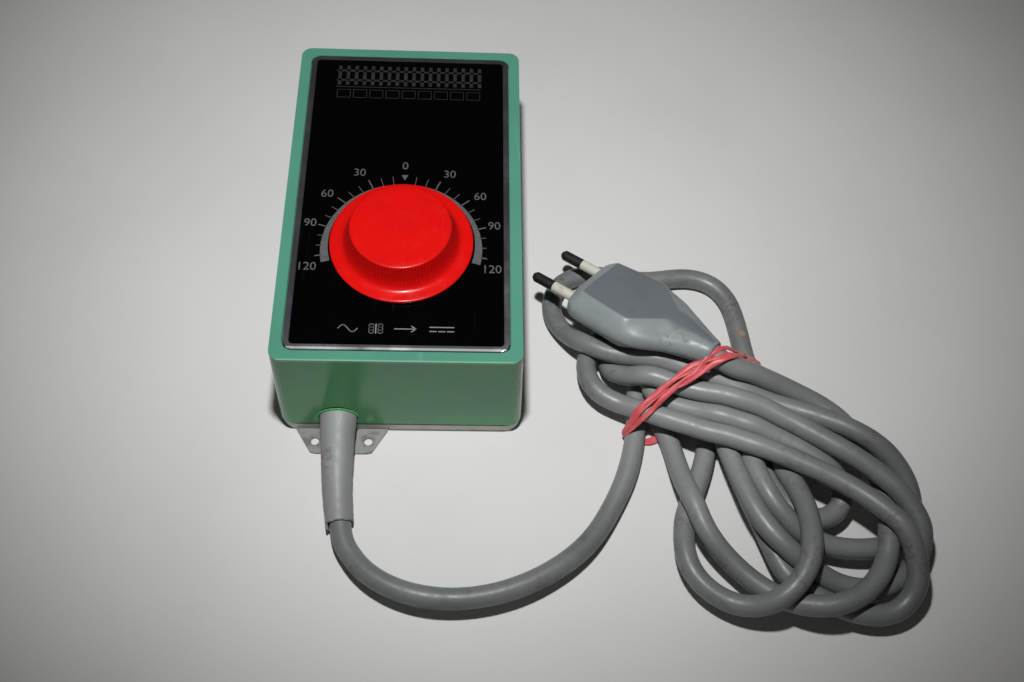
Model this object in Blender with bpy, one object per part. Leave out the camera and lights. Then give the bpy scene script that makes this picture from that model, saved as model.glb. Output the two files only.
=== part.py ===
"""Model-railway speed controller with a rotary knob, a mains lead and a two-pin plug.

Frame: metres, +Z up, origin at the centre of the case's underside, +Y towards the rear.
The lead leaves the front wall (-Y) and ends in a hank to the right of the case (+X).
"""
import math

import bmesh
import bpy
from mathutils import Matrix, Vector

MM = 0.001
GAP = 0.3 * MM

# Case, measured at its top, and base; the moulded walls spread by their draft towards the base
CASE_WIDTH = 83.0 * MM
CASE_LENGTH = 136.8 * MM
CASE_TOP = 49.0 * MM
CASE_LOW = 5.5 * MM
DRAFT = 1.5 * MM
CASE_CORNER_R = 3.8 * MM
CASE_EDGE_R = 1.2 * MM
WALL = 2.2 * MM
TOP_WALL = 3.4 * MM
BASE_THICKNESS = 2.3 * MM
BASE_RIM = 5.2 * MM
BASE_CORNER_R = 6.0 * MM
BOSS_SIDE = 9.0 * MM
CASE_SCREW_X = 34.6 * MM
CASE_SCREW_Y = 61.5 * MM

# Fixing lugs: one at the front left, one at the rear right
LUG_CENTRE_X = 21.2 * MM
LUG_ROOT_HALF = 17.1 * MM
LUG_TIP_HALF = 10.7 * MM
LUG_REACH = 11.1 * MM
LUG_THICKNESS = 1.0 * MM
LUG_HOLE_R = 1.5 * MM
LUG_HOLE_OFFSET = 9.5 * MM
LUG_HOLE_REACH = 6.5 * MM

# Trim plate and dial
TRIM_WIDTH = 74.6 * MM
TRIM_LENGTH = 128.5 * MM
TRIM_CORNER_R = 3.2 * MM
TRIM_THICKNESS = 1.4 * MM
TRIM_RISE = 0.3 * MM
TRIM_BORDER = 1.85 * MM
DIAL_POCKET = 0.6 * MM

# Knob, turning about a vertical axis
KNOB_AXIS = Vector((0.0, -22.1 * MM, 0.0))
FLANGE_R = 24.7 * MM
FLANGE_RIM = 1.1 * MM
CAP_BASE_R = 19.1 * MM
CAP_TOP_R = 17.0 * MM
CAP_HEIGHT = 8.9 * MM
SHAFT_R = 3.0 * MM
BUSH_R = 4.6 * MM
ARM_WIDTH = 9.0 * MM
STOP_ANGLE = math.radians(105.0)
STOP_REACH = 11.0 * MM
STOP_PIN_R = 1.2 * MM

# Strain relief and lead
CORD_R = 3.65 * MM
RELIEF_R = 6.65 * MM
RELIEF_TIP_R = 4.7 * MM
RELIEF_AXIS = Vector((-21.8 * MM, -69.8 * MM, 10.6 * MM))
RELIEF_TIP = Vector((-19.4 * MM, -106.8 * MM, 5.4 * MM))

# Plug: a flat two-pin plug of the common 2.5 A size, lying on the hank
PIN_SPACING = 18.6 * MM
PIN_R = 2.0 * MM
PIN_LENGTH = 19.0 * MM
PLUG_HALF_WIDTH = 17.6 * MM
PLUG_HALF_HEIGHT = 6.9 * MM
PLUG_BODY = 34.0 * MM
PLUG_NECK = 20.0 * MM
PLUG_FACE = Vector((68.3 * MM, -18.8 * MM, 19.0 * MM))
PLUG_YAW = math.radians(142.0)
PLUG_NOSE_DOWN = math.radians(9.0)
PLUG_ROLL = math.radians(-17.0)

# Hank of folded lead
LOOP_HEIGHT = 7.6 * MM
HANK_HEIGHT = 21.5 * MM
FLOOR_CLEARANCE = 1.6 * MM
BAND_START = Vector((78.5 * MM, -77.5 * MM, 0.0))
BAND_END = Vector((131.5 * MM, -43.5 * MM, 0.0))
BAND_THICKNESS = 1.2 * MM
BAND_WIDTH = 3.6 * MM
BAND_TOP = 33.6 * MM

# Rear terminals and the transformer's core
TERMINAL_X = -11.0 * MM
TERMINAL_Z = 16.0 * MM
TERMINAL_WIDTH = 36.0 * MM
TERMINAL_HEIGHT = 12.0 * MM
TERMINAL_PITCH = 8.6 * MM
CORE_CENTRE_Y = 34.0 * MM
CORE_WIDTH = 60.0 * MM
CORE_LENGTH = 50.0 * MM
CORE_LOW = 13.0 * MM
CORE_HIGH = 35.0 * MM
LIMB = 10.0 * MM

# Route of the uncoiled lead, from the strain relief to the hank (millimetres)
LEAD_ROUTE = [
    (-16.9, -116.0, 4.3), (-10.6, -123.6, 3.8), (0.4, -130.0, 3.75), (12.0, -132.8, 3.75),
    (25.3, -133.0, 3.75), (38.6, -130.4, 3.75), (52.1, -124.4, 3.75), (65.6, -114.0, 3.75),
    (74.3, -101.2, 3.75), (79.6, -90.2, 3.75), (83.3, -80.4, 3.75)]
# Plan of the whole hank, counter-clockwise from the point where the lead enters it
HANK_PLAN = [
    (80.8, -78.2), (86.4, -80.2), (92.4, -82.4), (99.0, -91.0), (98.0, -103.0), (93.5, -118.0),
    (97.0, -131.0),
    (110.0, -138.5), (130.0, -138.5), (148.0, -139.0), (165.0, -143.0), (178.0, -136.0),
    (183.5, -121.0), (186.0, -103.0), (184.0, -85.0), (174.0, -69.0), (158.0, -58.0),
    (140.0, -48.0), (130.5, -40.0), (130.5, -20.0), (123.0, -4.0), (107.0, 0.5), (88.0, 0.0),
    (66.0, 1.5), (54.0, -5.0), (50.0, -18.0), (54.0, -32.0), (61.0, -43.0), (62.0, -54.0),
    (69.0, -63.5)]

SMOOTH_ANGLE = math.radians(35.0)


def clear_scene():
    for item in list(bpy.data.objects):
        bpy.data.objects.remove(item, do_unlink=True)


def material(name, colour, roughness, metallic=0.0):
    mat = bpy.data.materials.new(name)
    mat.use_nodes = True
    shader = mat.node_tree.nodes["Principled BSDF"]
    shader.inputs["Base Color"].default_value = (*colour, 1.0)
    shader.inputs["Roughness"].default_value = roughness
    shader.inputs["Metallic"].default_value = metallic
    return mat


def make_object(name, bm, mat, matrix=None, parent=None):
    """Turns a bmesh into an object; a parent keeps the piece where the matrix puts it."""
    bmesh.ops.remove_doubles(bm, verts=bm.verts, dist=1e-7)
    bmesh.ops.recalc_face_normals(bm, faces=bm.faces)
    mesh = bpy.data.meshes.new(name)
    bm.to_mesh(mesh)
    bm.free()
    obj = bpy.data.objects.new(name, mesh)
    bpy.context.scene.collection.objects.link(obj)
    obj.matrix_world = matrix or Matrix.Identity(4)
    finish_object(obj, mat)
    if parent:
        bpy.context.view_layer.update()
        obj.parent = parent
        obj.matrix_parent_inverse = parent.matrix_world.inverted()
    return obj


def finish_object(obj, mat):
    obj.data.materials.clear()
    obj.data.materials.append(mat)
    obj.data.shade_smooth()
    obj.data.set_sharp_from_angle(angle=SMOOTH_ANGLE)


def at(x, y, z):
    return Matrix.Translation((x, y, z))


def combine(target, other, operation):
    """Applies a Boolean to the target, then removes the other solid."""
    modifier = target.modifiers.new("shape", "BOOLEAN")
    modifier.object = other
    modifier.operation = operation
    modifier.solver = "EXACT"
    bpy.context.view_layer.update()
    evaluated = target.evaluated_get(bpy.context.evaluated_depsgraph_get())
    mesh = bpy.data.meshes.new_from_object(evaluated)
    mat = target.data.materials[0]
    target.modifiers.clear()
    target.data = mesh
    finish_object(target, mat)
    bpy.data.objects.remove(other, do_unlink=True)


def cut(target, bm, matrix=None):
    mat = target.data.materials[0]
    combine(target, make_object("cutter", bm, mat, matrix), "DIFFERENCE")


def join(target, bm, matrix=None):
    mat = target.data.materials[0]
    combine(target, make_object("joined", bm, mat, matrix), "UNION")


def prism(outline, low, high, upper=None):
    """A closed solid over a counter-clockwise outline between two heights, ending on upper if given."""
    bm = bmesh.new()
    bottom = [bm.verts.new((x, y, low)) for x, y in outline]
    top = [bm.verts.new((x, y, high)) for x, y in upper or outline]
    bm.faces.new(list(reversed(bottom)))
    bm.faces.new(top)
    for i in range(len(outline)):
        j = (i + 1) % len(outline)
        bm.faces.new((bottom[i], bottom[j], top[j], top[i]))
    return bm


def rounded_rectangle(width, length, radius, steps=5, centre=(0.0, 0.0)):
    points = []
    for quarter, (sx, sy) in enumerate(((1, 1), (-1, 1), (-1, -1), (1, -1))):
        cx = centre[0] + sx * (width / 2 - radius)
        cy = centre[1] + sy * (length / 2 - radius)
        for step in range(steps + 1):
            angle = math.radians(90.0 * (quarter + step / steps))
            points.append((cx + radius * math.cos(angle), cy + radius * math.sin(angle)))
    return points


def circle(radius, segments=24, centre=(0.0, 0.0)):
    turn = 2 * math.pi / segments
    return [(centre[0] + radius * math.cos(i * turn), centre[1] + radius * math.sin(i * turn))
            for i in range(segments)]


def block(size, centre, edge=0.0):
    """A box given by its size and centre, with its edges rounded off."""
    bm = bmesh.new()
    bmesh.ops.create_cube(bm, size=1.0)
    bmesh.ops.scale(bm, vec=size, verts=bm.verts)
    bmesh.ops.translate(bm, vec=centre, verts=bm.verts)
    if edge:
        bmesh.ops.bevel(bm, geom=bm.edges[:], offset=edge, segments=2, profile=0.5, affect="EDGES")
    return bm


def turned(profile, segments=32, ring=False):
    """A solid of revolution about Z from (radius, height) points, top to bottom on its outside."""
    bm = bmesh.new()
    rows = []
    for radius, height in profile:
        if radius == 0.0:
            rows.append([bm.verts.new((0.0, 0.0, height))] * segments)
        else:
            rows.append([bm.verts.new((x, y, height)) for x, y in circle(radius, segments)])
    pairs = list(zip(rows, rows[1:]))
    if ring:
        pairs.append((rows[-1], rows[0]))
    for upper, lower in pairs:
        for i in range(segments):
            j = (i + 1) % segments
            corners = list(dict.fromkeys((upper[i], lower[i], lower[j], upper[j])))
            if len(corners) > 2:
                bm.faces.new(corners)
    return bm


def cylinder(radius, low, high, segments=24):
    return turned([(0.0, high), (radius, high), (radius, low), (0.0, low)], segments)


def smooth_path(points, spacing, closed=False):
    """Evenly spaced points on a Catmull-Rom curve through the given points."""
    knots = [Vector(p) for p in points]
    count = len(knots)
    fine = []
    for i in range(count if closed else count - 1):
        if closed:
            a, b, c, d = (knots[(i + k) % count] for k in (-1, 0, 1, 2))
        else:
            a, b, c, d = (knots[min(max(i + k, 0), count - 1)] for k in (-1, 0, 1, 2))
        for step in range(12):
            t = step / 12
            fine.append(0.5 * (2 * b + (c - a) * t + (2 * a - 5 * b + 4 * c - d) * t * t
                               + (3 * b - a - 3 * c + d) * t ** 3))
    fine.append(knots[0] if closed else knots[-1])
    length = sum((q - p).length for p, q in zip(fine, fine[1:]))
    pieces = max(2, round(length / spacing))
    path = [fine[0]]
    travelled = 0.0
    for p, q in zip(fine, fine[1:]):
        run = (q - p).length
        while run and len(path) < pieces and travelled + run >= len(path) * length / pieces:
            path.append(p.lerp(q, (len(path) * length / pieces - travelled) / run))
        travelled += run
    if not closed:
        path.append(fine[-1])
    return path


def tube(name, path, radius, mat, resolution=2):
    curve = bpy.data.curves.new(name, "CURVE")
    curve.dimensions = "3D"
    curve.bevel_depth = radius
    curve.bevel_resolution = resolution
    curve.render_resolution_u = 0
    curve.use_fill_caps = True
    spline = curve.splines.new("POLY")
    spline.points.add(len(path) - 1)
    for point, place in zip(spline.points, path):
        point.co = (*place, 1.0)
    curve.materials.append(mat)
    obj = bpy.data.objects.new(name, curve)
    bpy.context.scene.collection.objects.link(obj)
    return obj


def pointing(origin, direction):
    """A matrix that carries +Z along the direction, from the origin."""
    turn = Vector(direction).to_track_quat("Z", "Y").to_matrix().to_4x4()
    return Matrix.Translation(origin) @ turn


# ---------------------------------------------------------------- housing

def lug_outline(end):
    """A tapered tab; end is -1 at the front and +1 at the rear, which is the front one turned."""
    wall = CASE_LENGTH / 2 - 2 * MM
    tip = CASE_LENGTH / 2 + LUG_REACH
    corner = 1.6 * MM
    half = [(LUG_ROOT_HALF + 1.5 * MM, wall), (LUG_TIP_HALF + corner * 0.6, tip - corner),
            (LUG_TIP_HALF + corner * 0.1, tip - corner * 0.25), (LUG_TIP_HALF - corner, tip)]
    points = half + [(-x, y) for x, y in reversed(half)]
    return [(end * (x + LUG_CENTRE_X), end * y) for x, y in points]


def case_screw_places():
    return [(sx * CASE_SCREW_X, sy * CASE_SCREW_Y) for sy in (-1, 1) for sx in (-1, 1)]


def build_base(mat):
    width = CASE_WIDTH + 2 * DRAFT
    length = CASE_LENGTH + 2 * DRAFT
    base = make_object("base_plate", prism(rounded_rectangle(width, length, BASE_CORNER_R), 0.0, BASE_RIM), mat)
    tray = rounded_rectangle(width - 2 * WALL, length - 2 * WALL, BASE_CORNER_R - WALL)
    cut(base, prism(tray, BASE_THICKNESS, BASE_RIM + MM))
    for end in (-1, 1):
        join(base, prism(lug_outline(end), 0.0, LUG_THICKNESS))
        for side in (-1, 1):
            x = end * LUG_CENTRE_X + side * LUG_HOLE_OFFSET
            y = end * (CASE_LENGTH / 2 + LUG_HOLE_REACH)
            cut(base, cylinder(LUG_HOLE_R, -MM, 3 * MM, 16), at(x, y, 0.0))
        seam = end * (LUG_CENTRE_X - LUG_ROOT_HALF + 0.6 * MM)
        cut(base, block((0.35 * MM, 0.8 * MM, 3 * BASE_RIM), (seam, end * length / 2, 0.0)))
    countersink = [(0.0, 3 * MM), (1.75 * MM, 3 * MM), (1.75 * MM, 1.75 * MM), (3.2 * MM, 0.0),
                   (3.2 * MM, -MM), (0.0, -MM)]
    for x, y in case_screw_places():
        cut(base, turned(countersink, 16), at(x, y, 0.0))
    for column in range(7):
        x = (column - 3) * 6.0 * MM
        cut(base, block((2.4 * MM, 16 * MM, 6 * MM), (x, -34 * MM, 1 * MM)))
    groove = cylinder(RELIEF_R + GAP, -20 * MM, 5 * MM)
    cut(base, groove, pointing(RELIEF_AXIS, RELIEF_AXIS - RELIEF_TIP))
    return base


def build_case(mat):
    foot = rounded_rectangle(CASE_WIDTH + 2 * DRAFT, CASE_LENGTH + 2 * DRAFT, CASE_CORNER_R + DRAFT / 2)
    bm = prism(foot, CASE_LOW, CASE_TOP, rounded_rectangle(CASE_WIDTH, CASE_LENGTH, CASE_CORNER_R))
    top_edges = [e for e in bm.edges if all(abs(v.co.z - CASE_TOP) < 1e-9 for v in e.verts)]
    bmesh.ops.bevel(bm, geom=top_edges, offset=CASE_EDGE_R, segments=3, profile=0.5, affect="EDGES")
    case = make_object("case", bm, mat)

    inner_x = CASE_WIDTH / 2 - WALL
    inner_y = CASE_LENGTH / 2 - WALL
    notch = [(inner_x, inner_y - BOSS_SIDE), (inner_x - BOSS_SIDE, inner_y - BOSS_SIDE),
             (inner_x - BOSS_SIDE, inner_y)]
    hollow = [(sx * x, sy * y) for sx, sy, order in ((1, 1, 1), (-1, 1, -1), (-1, -1, 1), (1, -1, -1))
              for x, y in notch[::order]]
    cut(case, prism(hollow, 0.0, CASE_TOP - TOP_WALL))

    recess = rounded_rectangle(TRIM_WIDTH + 0.8 * MM, TRIM_LENGTH + 0.8 * MM, TRIM_CORNER_R + 0.4 * MM)
    cut(case, prism(recess, CASE_TOP + TRIM_RISE - TRIM_THICKNESS - GAP, CASE_TOP + MM))
    cut(case, cylinder(BUSH_R + GAP, 40 * MM, 52 * MM), Matrix.Translation(KNOB_AXIS))
    for x, y in case_screw_places():
        cut(case, cylinder(1.75 * MM, 0.0, 13 * MM, 16), at(x, y, 0.0))
    direction = RELIEF_AXIS - RELIEF_TIP
    cut(case, cylinder(RELIEF_R + GAP, -8 * MM, 6 * MM), pointing(RELIEF_AXIS, direction))
    rear = CASE_LENGTH / 2 + DRAFT / 2
    cut(case, block((TERMINAL_WIDTH + 2 * GAP, 8 * MM, TERMINAL_HEIGHT + 2 * GAP),
                    (TERMINAL_X, rear, TERMINAL_Z)))
    return case


def build_case_screws(mat):
    profile = [(0.0, 11.5 * MM), (0.7 * MM, 11.5 * MM), (1.4 * MM, 10.6 * MM), (1.4 * MM, 1.7 * MM),
               (2.75 * MM, 0.35 * MM), (2.75 * MM, 0.1 * MM), (0.0, 0.1 * MM)]
    for number, (x, y) in enumerate(case_screw_places(), start=1):
        screw = make_object(f"case_screw_{number}", turned(profile, 16), mat, at(x, y, 0.0))
        cut(screw, block((0.7 * MM, 6 * MM, 0.9 * MM), (0.0, 0.0, 0.1 * MM)), at(x, y, 0.0))


def build_trim(trim_mat, dial_mat):
    high = CASE_TOP + TRIM_RISE
    bm = prism(rounded_rectangle(TRIM_WIDTH, TRIM_LENGTH, TRIM_CORNER_R), high - TRIM_THICKNESS, high)
    top_edges = [e for e in bm.edges if all(abs(v.co.z - high) < 1e-9 for v in e.verts)]
    bmesh.ops.bevel(bm, geom=top_edges, offset=0.5 * MM, segments=2, profile=0.5, affect="EDGES")
    trim = make_object("trim_plate", bm, trim_mat)
    width = TRIM_WIDTH - 2 * TRIM_BORDER
    length = TRIM_LENGTH - 2 * TRIM_BORDER
    cut(trim, prism(rounded_rectangle(width, length, 1.6 * MM), high - DIAL_POCKET, high + MM))
    cut(trim, cylinder(BUSH_R + GAP, 40 * MM, 55 * MM), Matrix.Translation(KNOB_AXIS))
    side = 0.2 * MM
    outline = rounded_rectangle(width - 2 * side, length - 2 * side, 1.4 * MM)
    dial = make_object("dial_face", prism(outline, high - DIAL_POCKET + GAP, high - 0.05 * MM), dial_mat)
    cut(dial, cylinder(BUSH_R + GAP, 40 * MM, 55 * MM), Matrix.Translation(KNOB_AXIS))


# ---------------------------------------------------------------- knob and speed control

def build_knob(knob_mat, steel_mat, brass_mat, carbon_mat, axis):
    bottom = CASE_TOP + TRIM_RISE + 0.5 * MM
    rim = bottom + FLANGE_RIM
    top = rim + CAP_HEIGHT
    fillet = []
    for step in range(5):
        a = math.radians(22.5 * step)
        fillet.append((CAP_BASE_R + 2.6 * MM * (1 - math.sin(a)),
                       rim + 0.2 * MM + 2.2 * MM * (1 - math.cos(a))))
    profile = [(0.0, top + 0.25 * MM), (CAP_TOP_R * 0.6, top + 0.2 * MM), (CAP_TOP_R - 0.6 * MM, top),
               (CAP_TOP_R, top - 0.5 * MM)]
    profile += fillet[::-1]
    profile += [(FLANGE_R - 0.6 * MM, rim), (FLANGE_R, rim - 0.4 * MM), (FLANGE_R, bottom + 0.1 * MM),
                (FLANGE_R - 0.4 * MM, bottom), (20 * MM, bottom), (18.4 * MM, bottom + MM),
                (15.6 * MM, top - 2.4 * MM), (6.2 * MM, top - 2.4 * MM), (6.2 * MM, bottom + 2.4 * MM),
                (SHAFT_R + 0.3 * MM, bottom + 2.4 * MM), (SHAFT_R + 0.3 * MM, top - 3.0 * MM),
                (0.0, top - 3.0 * MM)]
    place = Matrix.Translation(KNOB_AXIS)
    make_object("knob", turned(profile, 56), knob_mat, place, axis)
    shaft = [(0.0, top - 3.4 * MM), (SHAFT_R - 0.4 * MM, top - 3.4 * MM), (SHAFT_R, top - 3.8 * MM),
             (SHAFT_R, 27 * MM), (0.0, 27 * MM)]
    make_object("knob_shaft", turned(shaft, 24), steel_mat, place, axis)

    bore = SHAFT_R + 0.05 * MM
    bush = [(BUSH_R, bottom + 0.2 * MM + 1.8 * MM), (BUSH_R, 36 * MM), (8.0 * MM, 36 * MM),
            (8.0 * MM, 33.4 * MM), (bore, 33.4 * MM), (bore, bottom + 2.0 * MM)]
    make_object("shaft_bush", turned(bush, 24, ring=True), brass_mat, place)
    nut_top = CASE_TOP - TOP_WALL - GAP
    nut = make_object("bush_nut", prism(circle(7.6 * MM, 6), nut_top - 2.6 * MM, nut_top),
                      brass_mat, place)
    cut(nut, cylinder(BUSH_R + GAP, 30 * MM, 52 * MM), place)

    arm_top = 32.4 * MM
    hub = [(7.0 * MM, arm_top), (7.0 * MM, 28 * MM), (SHAFT_R + GAP, 28 * MM), (SHAFT_R + GAP, arm_top)]
    make_object("wiper_hub", turned(hub, 24, ring=True), brass_mat, place, axis)
    arm = make_object("wiper_arm", block((ARM_WIDTH, 27 * MM, 0.9 * MM), (0.0, 6.5 * MM, 27.2 * MM)),
                      steel_mat, place, axis)
    cut(arm, cylinder(SHAFT_R + GAP, 20 * MM, 30 * MM), place)
    make_object("wiper_brush", block((4 * MM, 4 * MM, 2.4 * MM), (0.0, 17.6 * MM, 25.2 * MM), 0.3 * MM),
                carbon_mat, place, axis)


def build_speed_control(card_mat, wire_mat, steel_mat):
    """A wire-wound ring under the knob, carried by a round insulating plate."""
    place = Matrix.Translation(KNOB_AXIS)
    plate = [(24 * MM, 15.4 * MM), (24 * MM, 13 * MM), (5 * MM, 13 * MM), (5 * MM, 15.4 * MM)]
    make_object("control_plate", turned(plate, 40, ring=True), card_mat, place)
    former = [(21 * MM, 22.4 * MM), (21 * MM, 15.7 * MM), (14.4 * MM, 15.7 * MM), (14.4 * MM, 22.4 * MM)]
    make_object("resistor_former", turned(former, 40, ring=True), card_mat, place)
    winding = [(20.4 * MM, 23.8 * MM), (20.4 * MM, 22.7 * MM), (15.0 * MM, 22.7 * MM),
               (15.0 * MM, 23.8 * MM)]
    make_object("resistor_winding", turned(winding, 40, ring=True), wire_mat, place)
    for number, (x, y) in enumerate(((-27, -14), (27, -14), (0, -50)), start=1):
        reach = (Vector((x * MM, y * MM)) - KNOB_AXIS.xy).length
        pillar = turned([(0.0, 12.7 * MM), (2.6 * MM, 12.7 * MM), (2.6 * MM, BASE_THICKNESS + GAP),
                         (0.0, BASE_THICKNESS + GAP)], 16)
        spot = KNOB_AXIS.xy + (Vector((x * MM, y * MM)) - KNOB_AXIS.xy) * (20 * MM / reach)
        make_object(f"control_pillar_{number}", pillar, steel_mat, at(spot.x, spot.y, 0.0))
    stop_angle = STOP_ANGLE + math.asin((ARM_WIDTH / 2 + STOP_PIN_R + 0.2 * MM) / STOP_REACH)
    for number, side in enumerate((-1, 1), start=1):
        x = side * STOP_REACH * math.sin(stop_angle)
        y = STOP_REACH * math.cos(stop_angle)
        make_object(f"stop_pin_{number}", cylinder(STOP_PIN_R, 15.4 * MM + GAP, 28.4 * MM, 16),
                    steel_mat, place @ at(x, y, 0.0))
    detent = block((3.2 * MM, 0.6 * MM, 7.0 * MM), (0.0, 23.4 * MM, 0.0))
    make_object("zero_stop_spring", detent, steel_mat, place @ at(0.0, 0.0, 19.4 * MM))


# ---------------------------------------------------------------- transformer and wiring

def build_transformer(core_mat, bobbin_mat, copper_mat, tape_mat, steel_mat):
    window_x = CORE_WIDTH / 2 - LIMB
    window_y = CORE_LENGTH / 2 - LIMB
    core = make_object("transformer_core",
                       block((CORE_WIDTH, CORE_LENGTH, CORE_HIGH - CORE_LOW),
                             (0.0, CORE_CENTRE_Y, (CORE_LOW + CORE_HIGH) / 2)), core_mat)
    for side in (-1, 1):
        x = side * (LIMB + window_x) / 2
        cut(core, block((window_x - LIMB, 2 * window_y, 40 * MM), (x, CORE_CENTRE_Y, 24 * MM)))
    corners = [(sx * (CORE_WIDTH / 2 - 5 * MM), CORE_CENTRE_Y + sy * (CORE_LENGTH / 2 - 5 * MM))
               for sx in (-1, 1) for sy in (-1, 1)]
    for x, y in corners:
        cut(core, cylinder(1.9 * MM, 0.0, 50 * MM, 16), at(x, y, 0.0))

    def sleeve(name, clear, thickness, low_y, high_y, mat):
        """A rectangular tube round the centre limb."""
        inner_x = LIMB + clear
        inner_z = (CORE_HIGH - CORE_LOW) / 2 + clear
        outline = rounded_rectangle(2 * (inner_x + thickness), 2 * (inner_z + thickness), 2.0 * MM, 3)
        turn = Matrix.Rotation(math.radians(90.0), 4, "X")
        place = at(0.0, CORE_CENTRE_Y, (CORE_LOW + CORE_HIGH) / 2) @ turn
        piece = make_object(name, prism(outline, -high_y, -low_y), mat, place)
        cut(piece, block((2 * inner_x, 2 * inner_z, 80 * MM), (0.0, 0.0, 0.0)), place)
        return piece

    reach = window_y - GAP
    bobbin = sleeve("bobbin", GAP, 0.9 * MM, -reach, reach, bobbin_mat)
    place = at(0.0, CORE_CENTRE_Y, (CORE_LOW + CORE_HIGH) / 2)
    for y in (-reach + 0.5 * MM, 0.0, reach - 0.5 * MM):
        flange = make_object("flange", block((2 * (window_x - GAP), 1.0 * MM, 39 * MM), (0.0, y, 0.0)),
                             bobbin_mat, place)
        cut(flange, block((2 * (LIMB + 0.6 * MM), 4 * MM, 23.2 * MM), (0.0, y, 0.0)), place)
        combine(bobbin, flange, "UNION")
    sleeve("primary_winding", 1.5 * MM, 7.2 * MM, 0.8 * MM, reach - 1.3 * MM, copper_mat)
    sleeve("secondary_winding", 1.5 * MM, 6.6 * MM, -reach + 1.3 * MM, -0.8 * MM, tape_mat)

    stud = [(0.0, 40 * MM), (1.5 * MM, 40 * MM), (1.5 * MM, CORE_LOW - GAP), (3.4 * MM, CORE_LOW - GAP),
            (3.4 * MM, BASE_THICKNESS + GAP), (0.0, BASE_THICKNESS + GAP)]
    for number, (x, y) in enumerate(corners, start=1):
        make_object(f"core_stud_{number}", turned(stud, 16), steel_mat, at(x, y, 0.0))
        nut = make_object(f"core_nut_{number}", prism(circle(3.2 * MM, 6), CORE_HIGH + GAP, 38 * MM),
                          steel_mat, at(x, y, 0.0))
        cut(nut, cylinder(1.8 * MM, 30 * MM, 45 * MM, 16), at(x, y, 0.0))


def build_terminals(card_mat, brass_mat):
    rear = CASE_LENGTH / 2 + DRAFT / 2
    front = rear - 9 * MM
    terminals = make_object("terminal_block", block((TERMINAL_WIDTH, 8.6 * MM, TERMINAL_HEIGHT),
                                                    (TERMINAL_X, front + 4.3 * MM, TERMINAL_Z)), card_mat)
    turn = Matrix.Rotation(math.radians(-90.0), 4, "X")
    for number in range(4):
        x = TERMINAL_X + (number - 1.5) * TERMINAL_PITCH
        place = at(x, rear - 0.4 * MM, TERMINAL_Z) @ turn
        cut(terminals, cylinder(3.3 * MM, -3.4 * MM, MM, 20), place)
        cut(terminals, cylinder(1.5 * MM, -7.0 * MM, MM, 12), place)
        screw = [(0.0, -0.9 * MM), (2.4 * MM, -0.9 * MM), (2.8 * MM, -1.3 * MM),
                 (2.8 * MM, -3.0 * MM), (1.2 * MM, -3.0 * MM), (1.2 * MM, -6.5 * MM), (0.0, -6.5 * MM)]
        head = make_object(f"terminal_screw_{number + 1}", turned(screw, 20), brass_mat, place)
        cut(head, block((7 * MM, 0.8 * MM, 1.4 * MM), (0.0, 0.0, -0.9 * MM)), place)


def build_small_parts(card_mat, metal_mat, wire_mats):
    low = BASE_THICKNESS + GAP
    parts = [("cable_clamp", (15 * MM, 6 * MM, 3 * MM), (-22.1 * MM, -53.5 * MM, 13.6 * MM), card_mat),
             ("overload_breaker", (15 * MM, 9 * MM, 14 * MM), (18 * MM, -55 * MM, low + 7 * MM), card_mat),
             ("rectifier", (5 * MM, 24 * MM, 24 * MM), (34.5 * MM, -30 * MM, low + 12 * MM), metal_mat)]
    for name, size, centre, mat in parts:
        make_object(name, block(size, centre, 0.5 * MM), mat)
    inner = [(-23.0 * MM, -59.2 * MM, 11.4 * MM), (-24 * MM, -52 * MM, 9.5 * MM), (-30 * MM, -44 * MM, 10 * MM),
             (-34 * MM, -30 * MM, 8 * MM), (-35 * MM, -8 * MM, 8 * MM), (-35 * MM, 14 * MM, 9 * MM),
             (-31.5 * MM, 24 * MM, 9 * MM), (-26 * MM, 34 * MM, 8 * MM), (-22.8 * MM, 38 * MM, 8.5 * MM)]
    second = [(x + 2.2 * MM, y, z - 2.6 * MM) for x, y, z in inner]
    tube("inner_lead_brown", smooth_path(inner, 6 * MM), 1.1 * MM, wire_mats[0])
    tube("inner_lead_blue", smooth_path(second, 6 * MM), 1.1 * MM, wire_mats[1])


# ---------------------------------------------------------------- lead, plug and hank

def build_strain_relief(mat):
    """A tapered sleeve moulded onto the lead, with a collar inside the front wall."""
    axis = RELIEF_TIP - RELIEF_AXIS
    length = axis.length
    profile = [(0.0, length), (RELIEF_TIP_R - 0.5 * MM, length), (RELIEF_TIP_R, length - 0.6 * MM),
               (RELIEF_TIP_R + 0.6 * MM, length * 0.6), (RELIEF_TIP_R + 1.2 * MM, length * 0.25),
               (RELIEF_R, 0.0), (RELIEF_R, -4.8 * MM), (7.1 * MM, -5.0 * MM), (7.1 * MM, -7.0 * MM),
               (4.2 * MM, -7.2 * MM), (4.2 * MM, -9.4 * MM), (0.0, -9.4 * MM)]
    make_object("strain_relief", turned(profile, 32), mat, pointing(RELIEF_AXIS, axis))


def build_lead(mat):
    axis = (RELIEF_TIP - RELIEF_AXIS).normalized()
    start = RELIEF_TIP + axis * GAP
    route = [start + axis * 4 * MM] + [Vector(p) * MM for p in LEAD_ROUTE]
    tube("cord_lead", [start] + smooth_path(route, 2.0 * 2 * CORD_R), CORD_R, mat)


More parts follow.
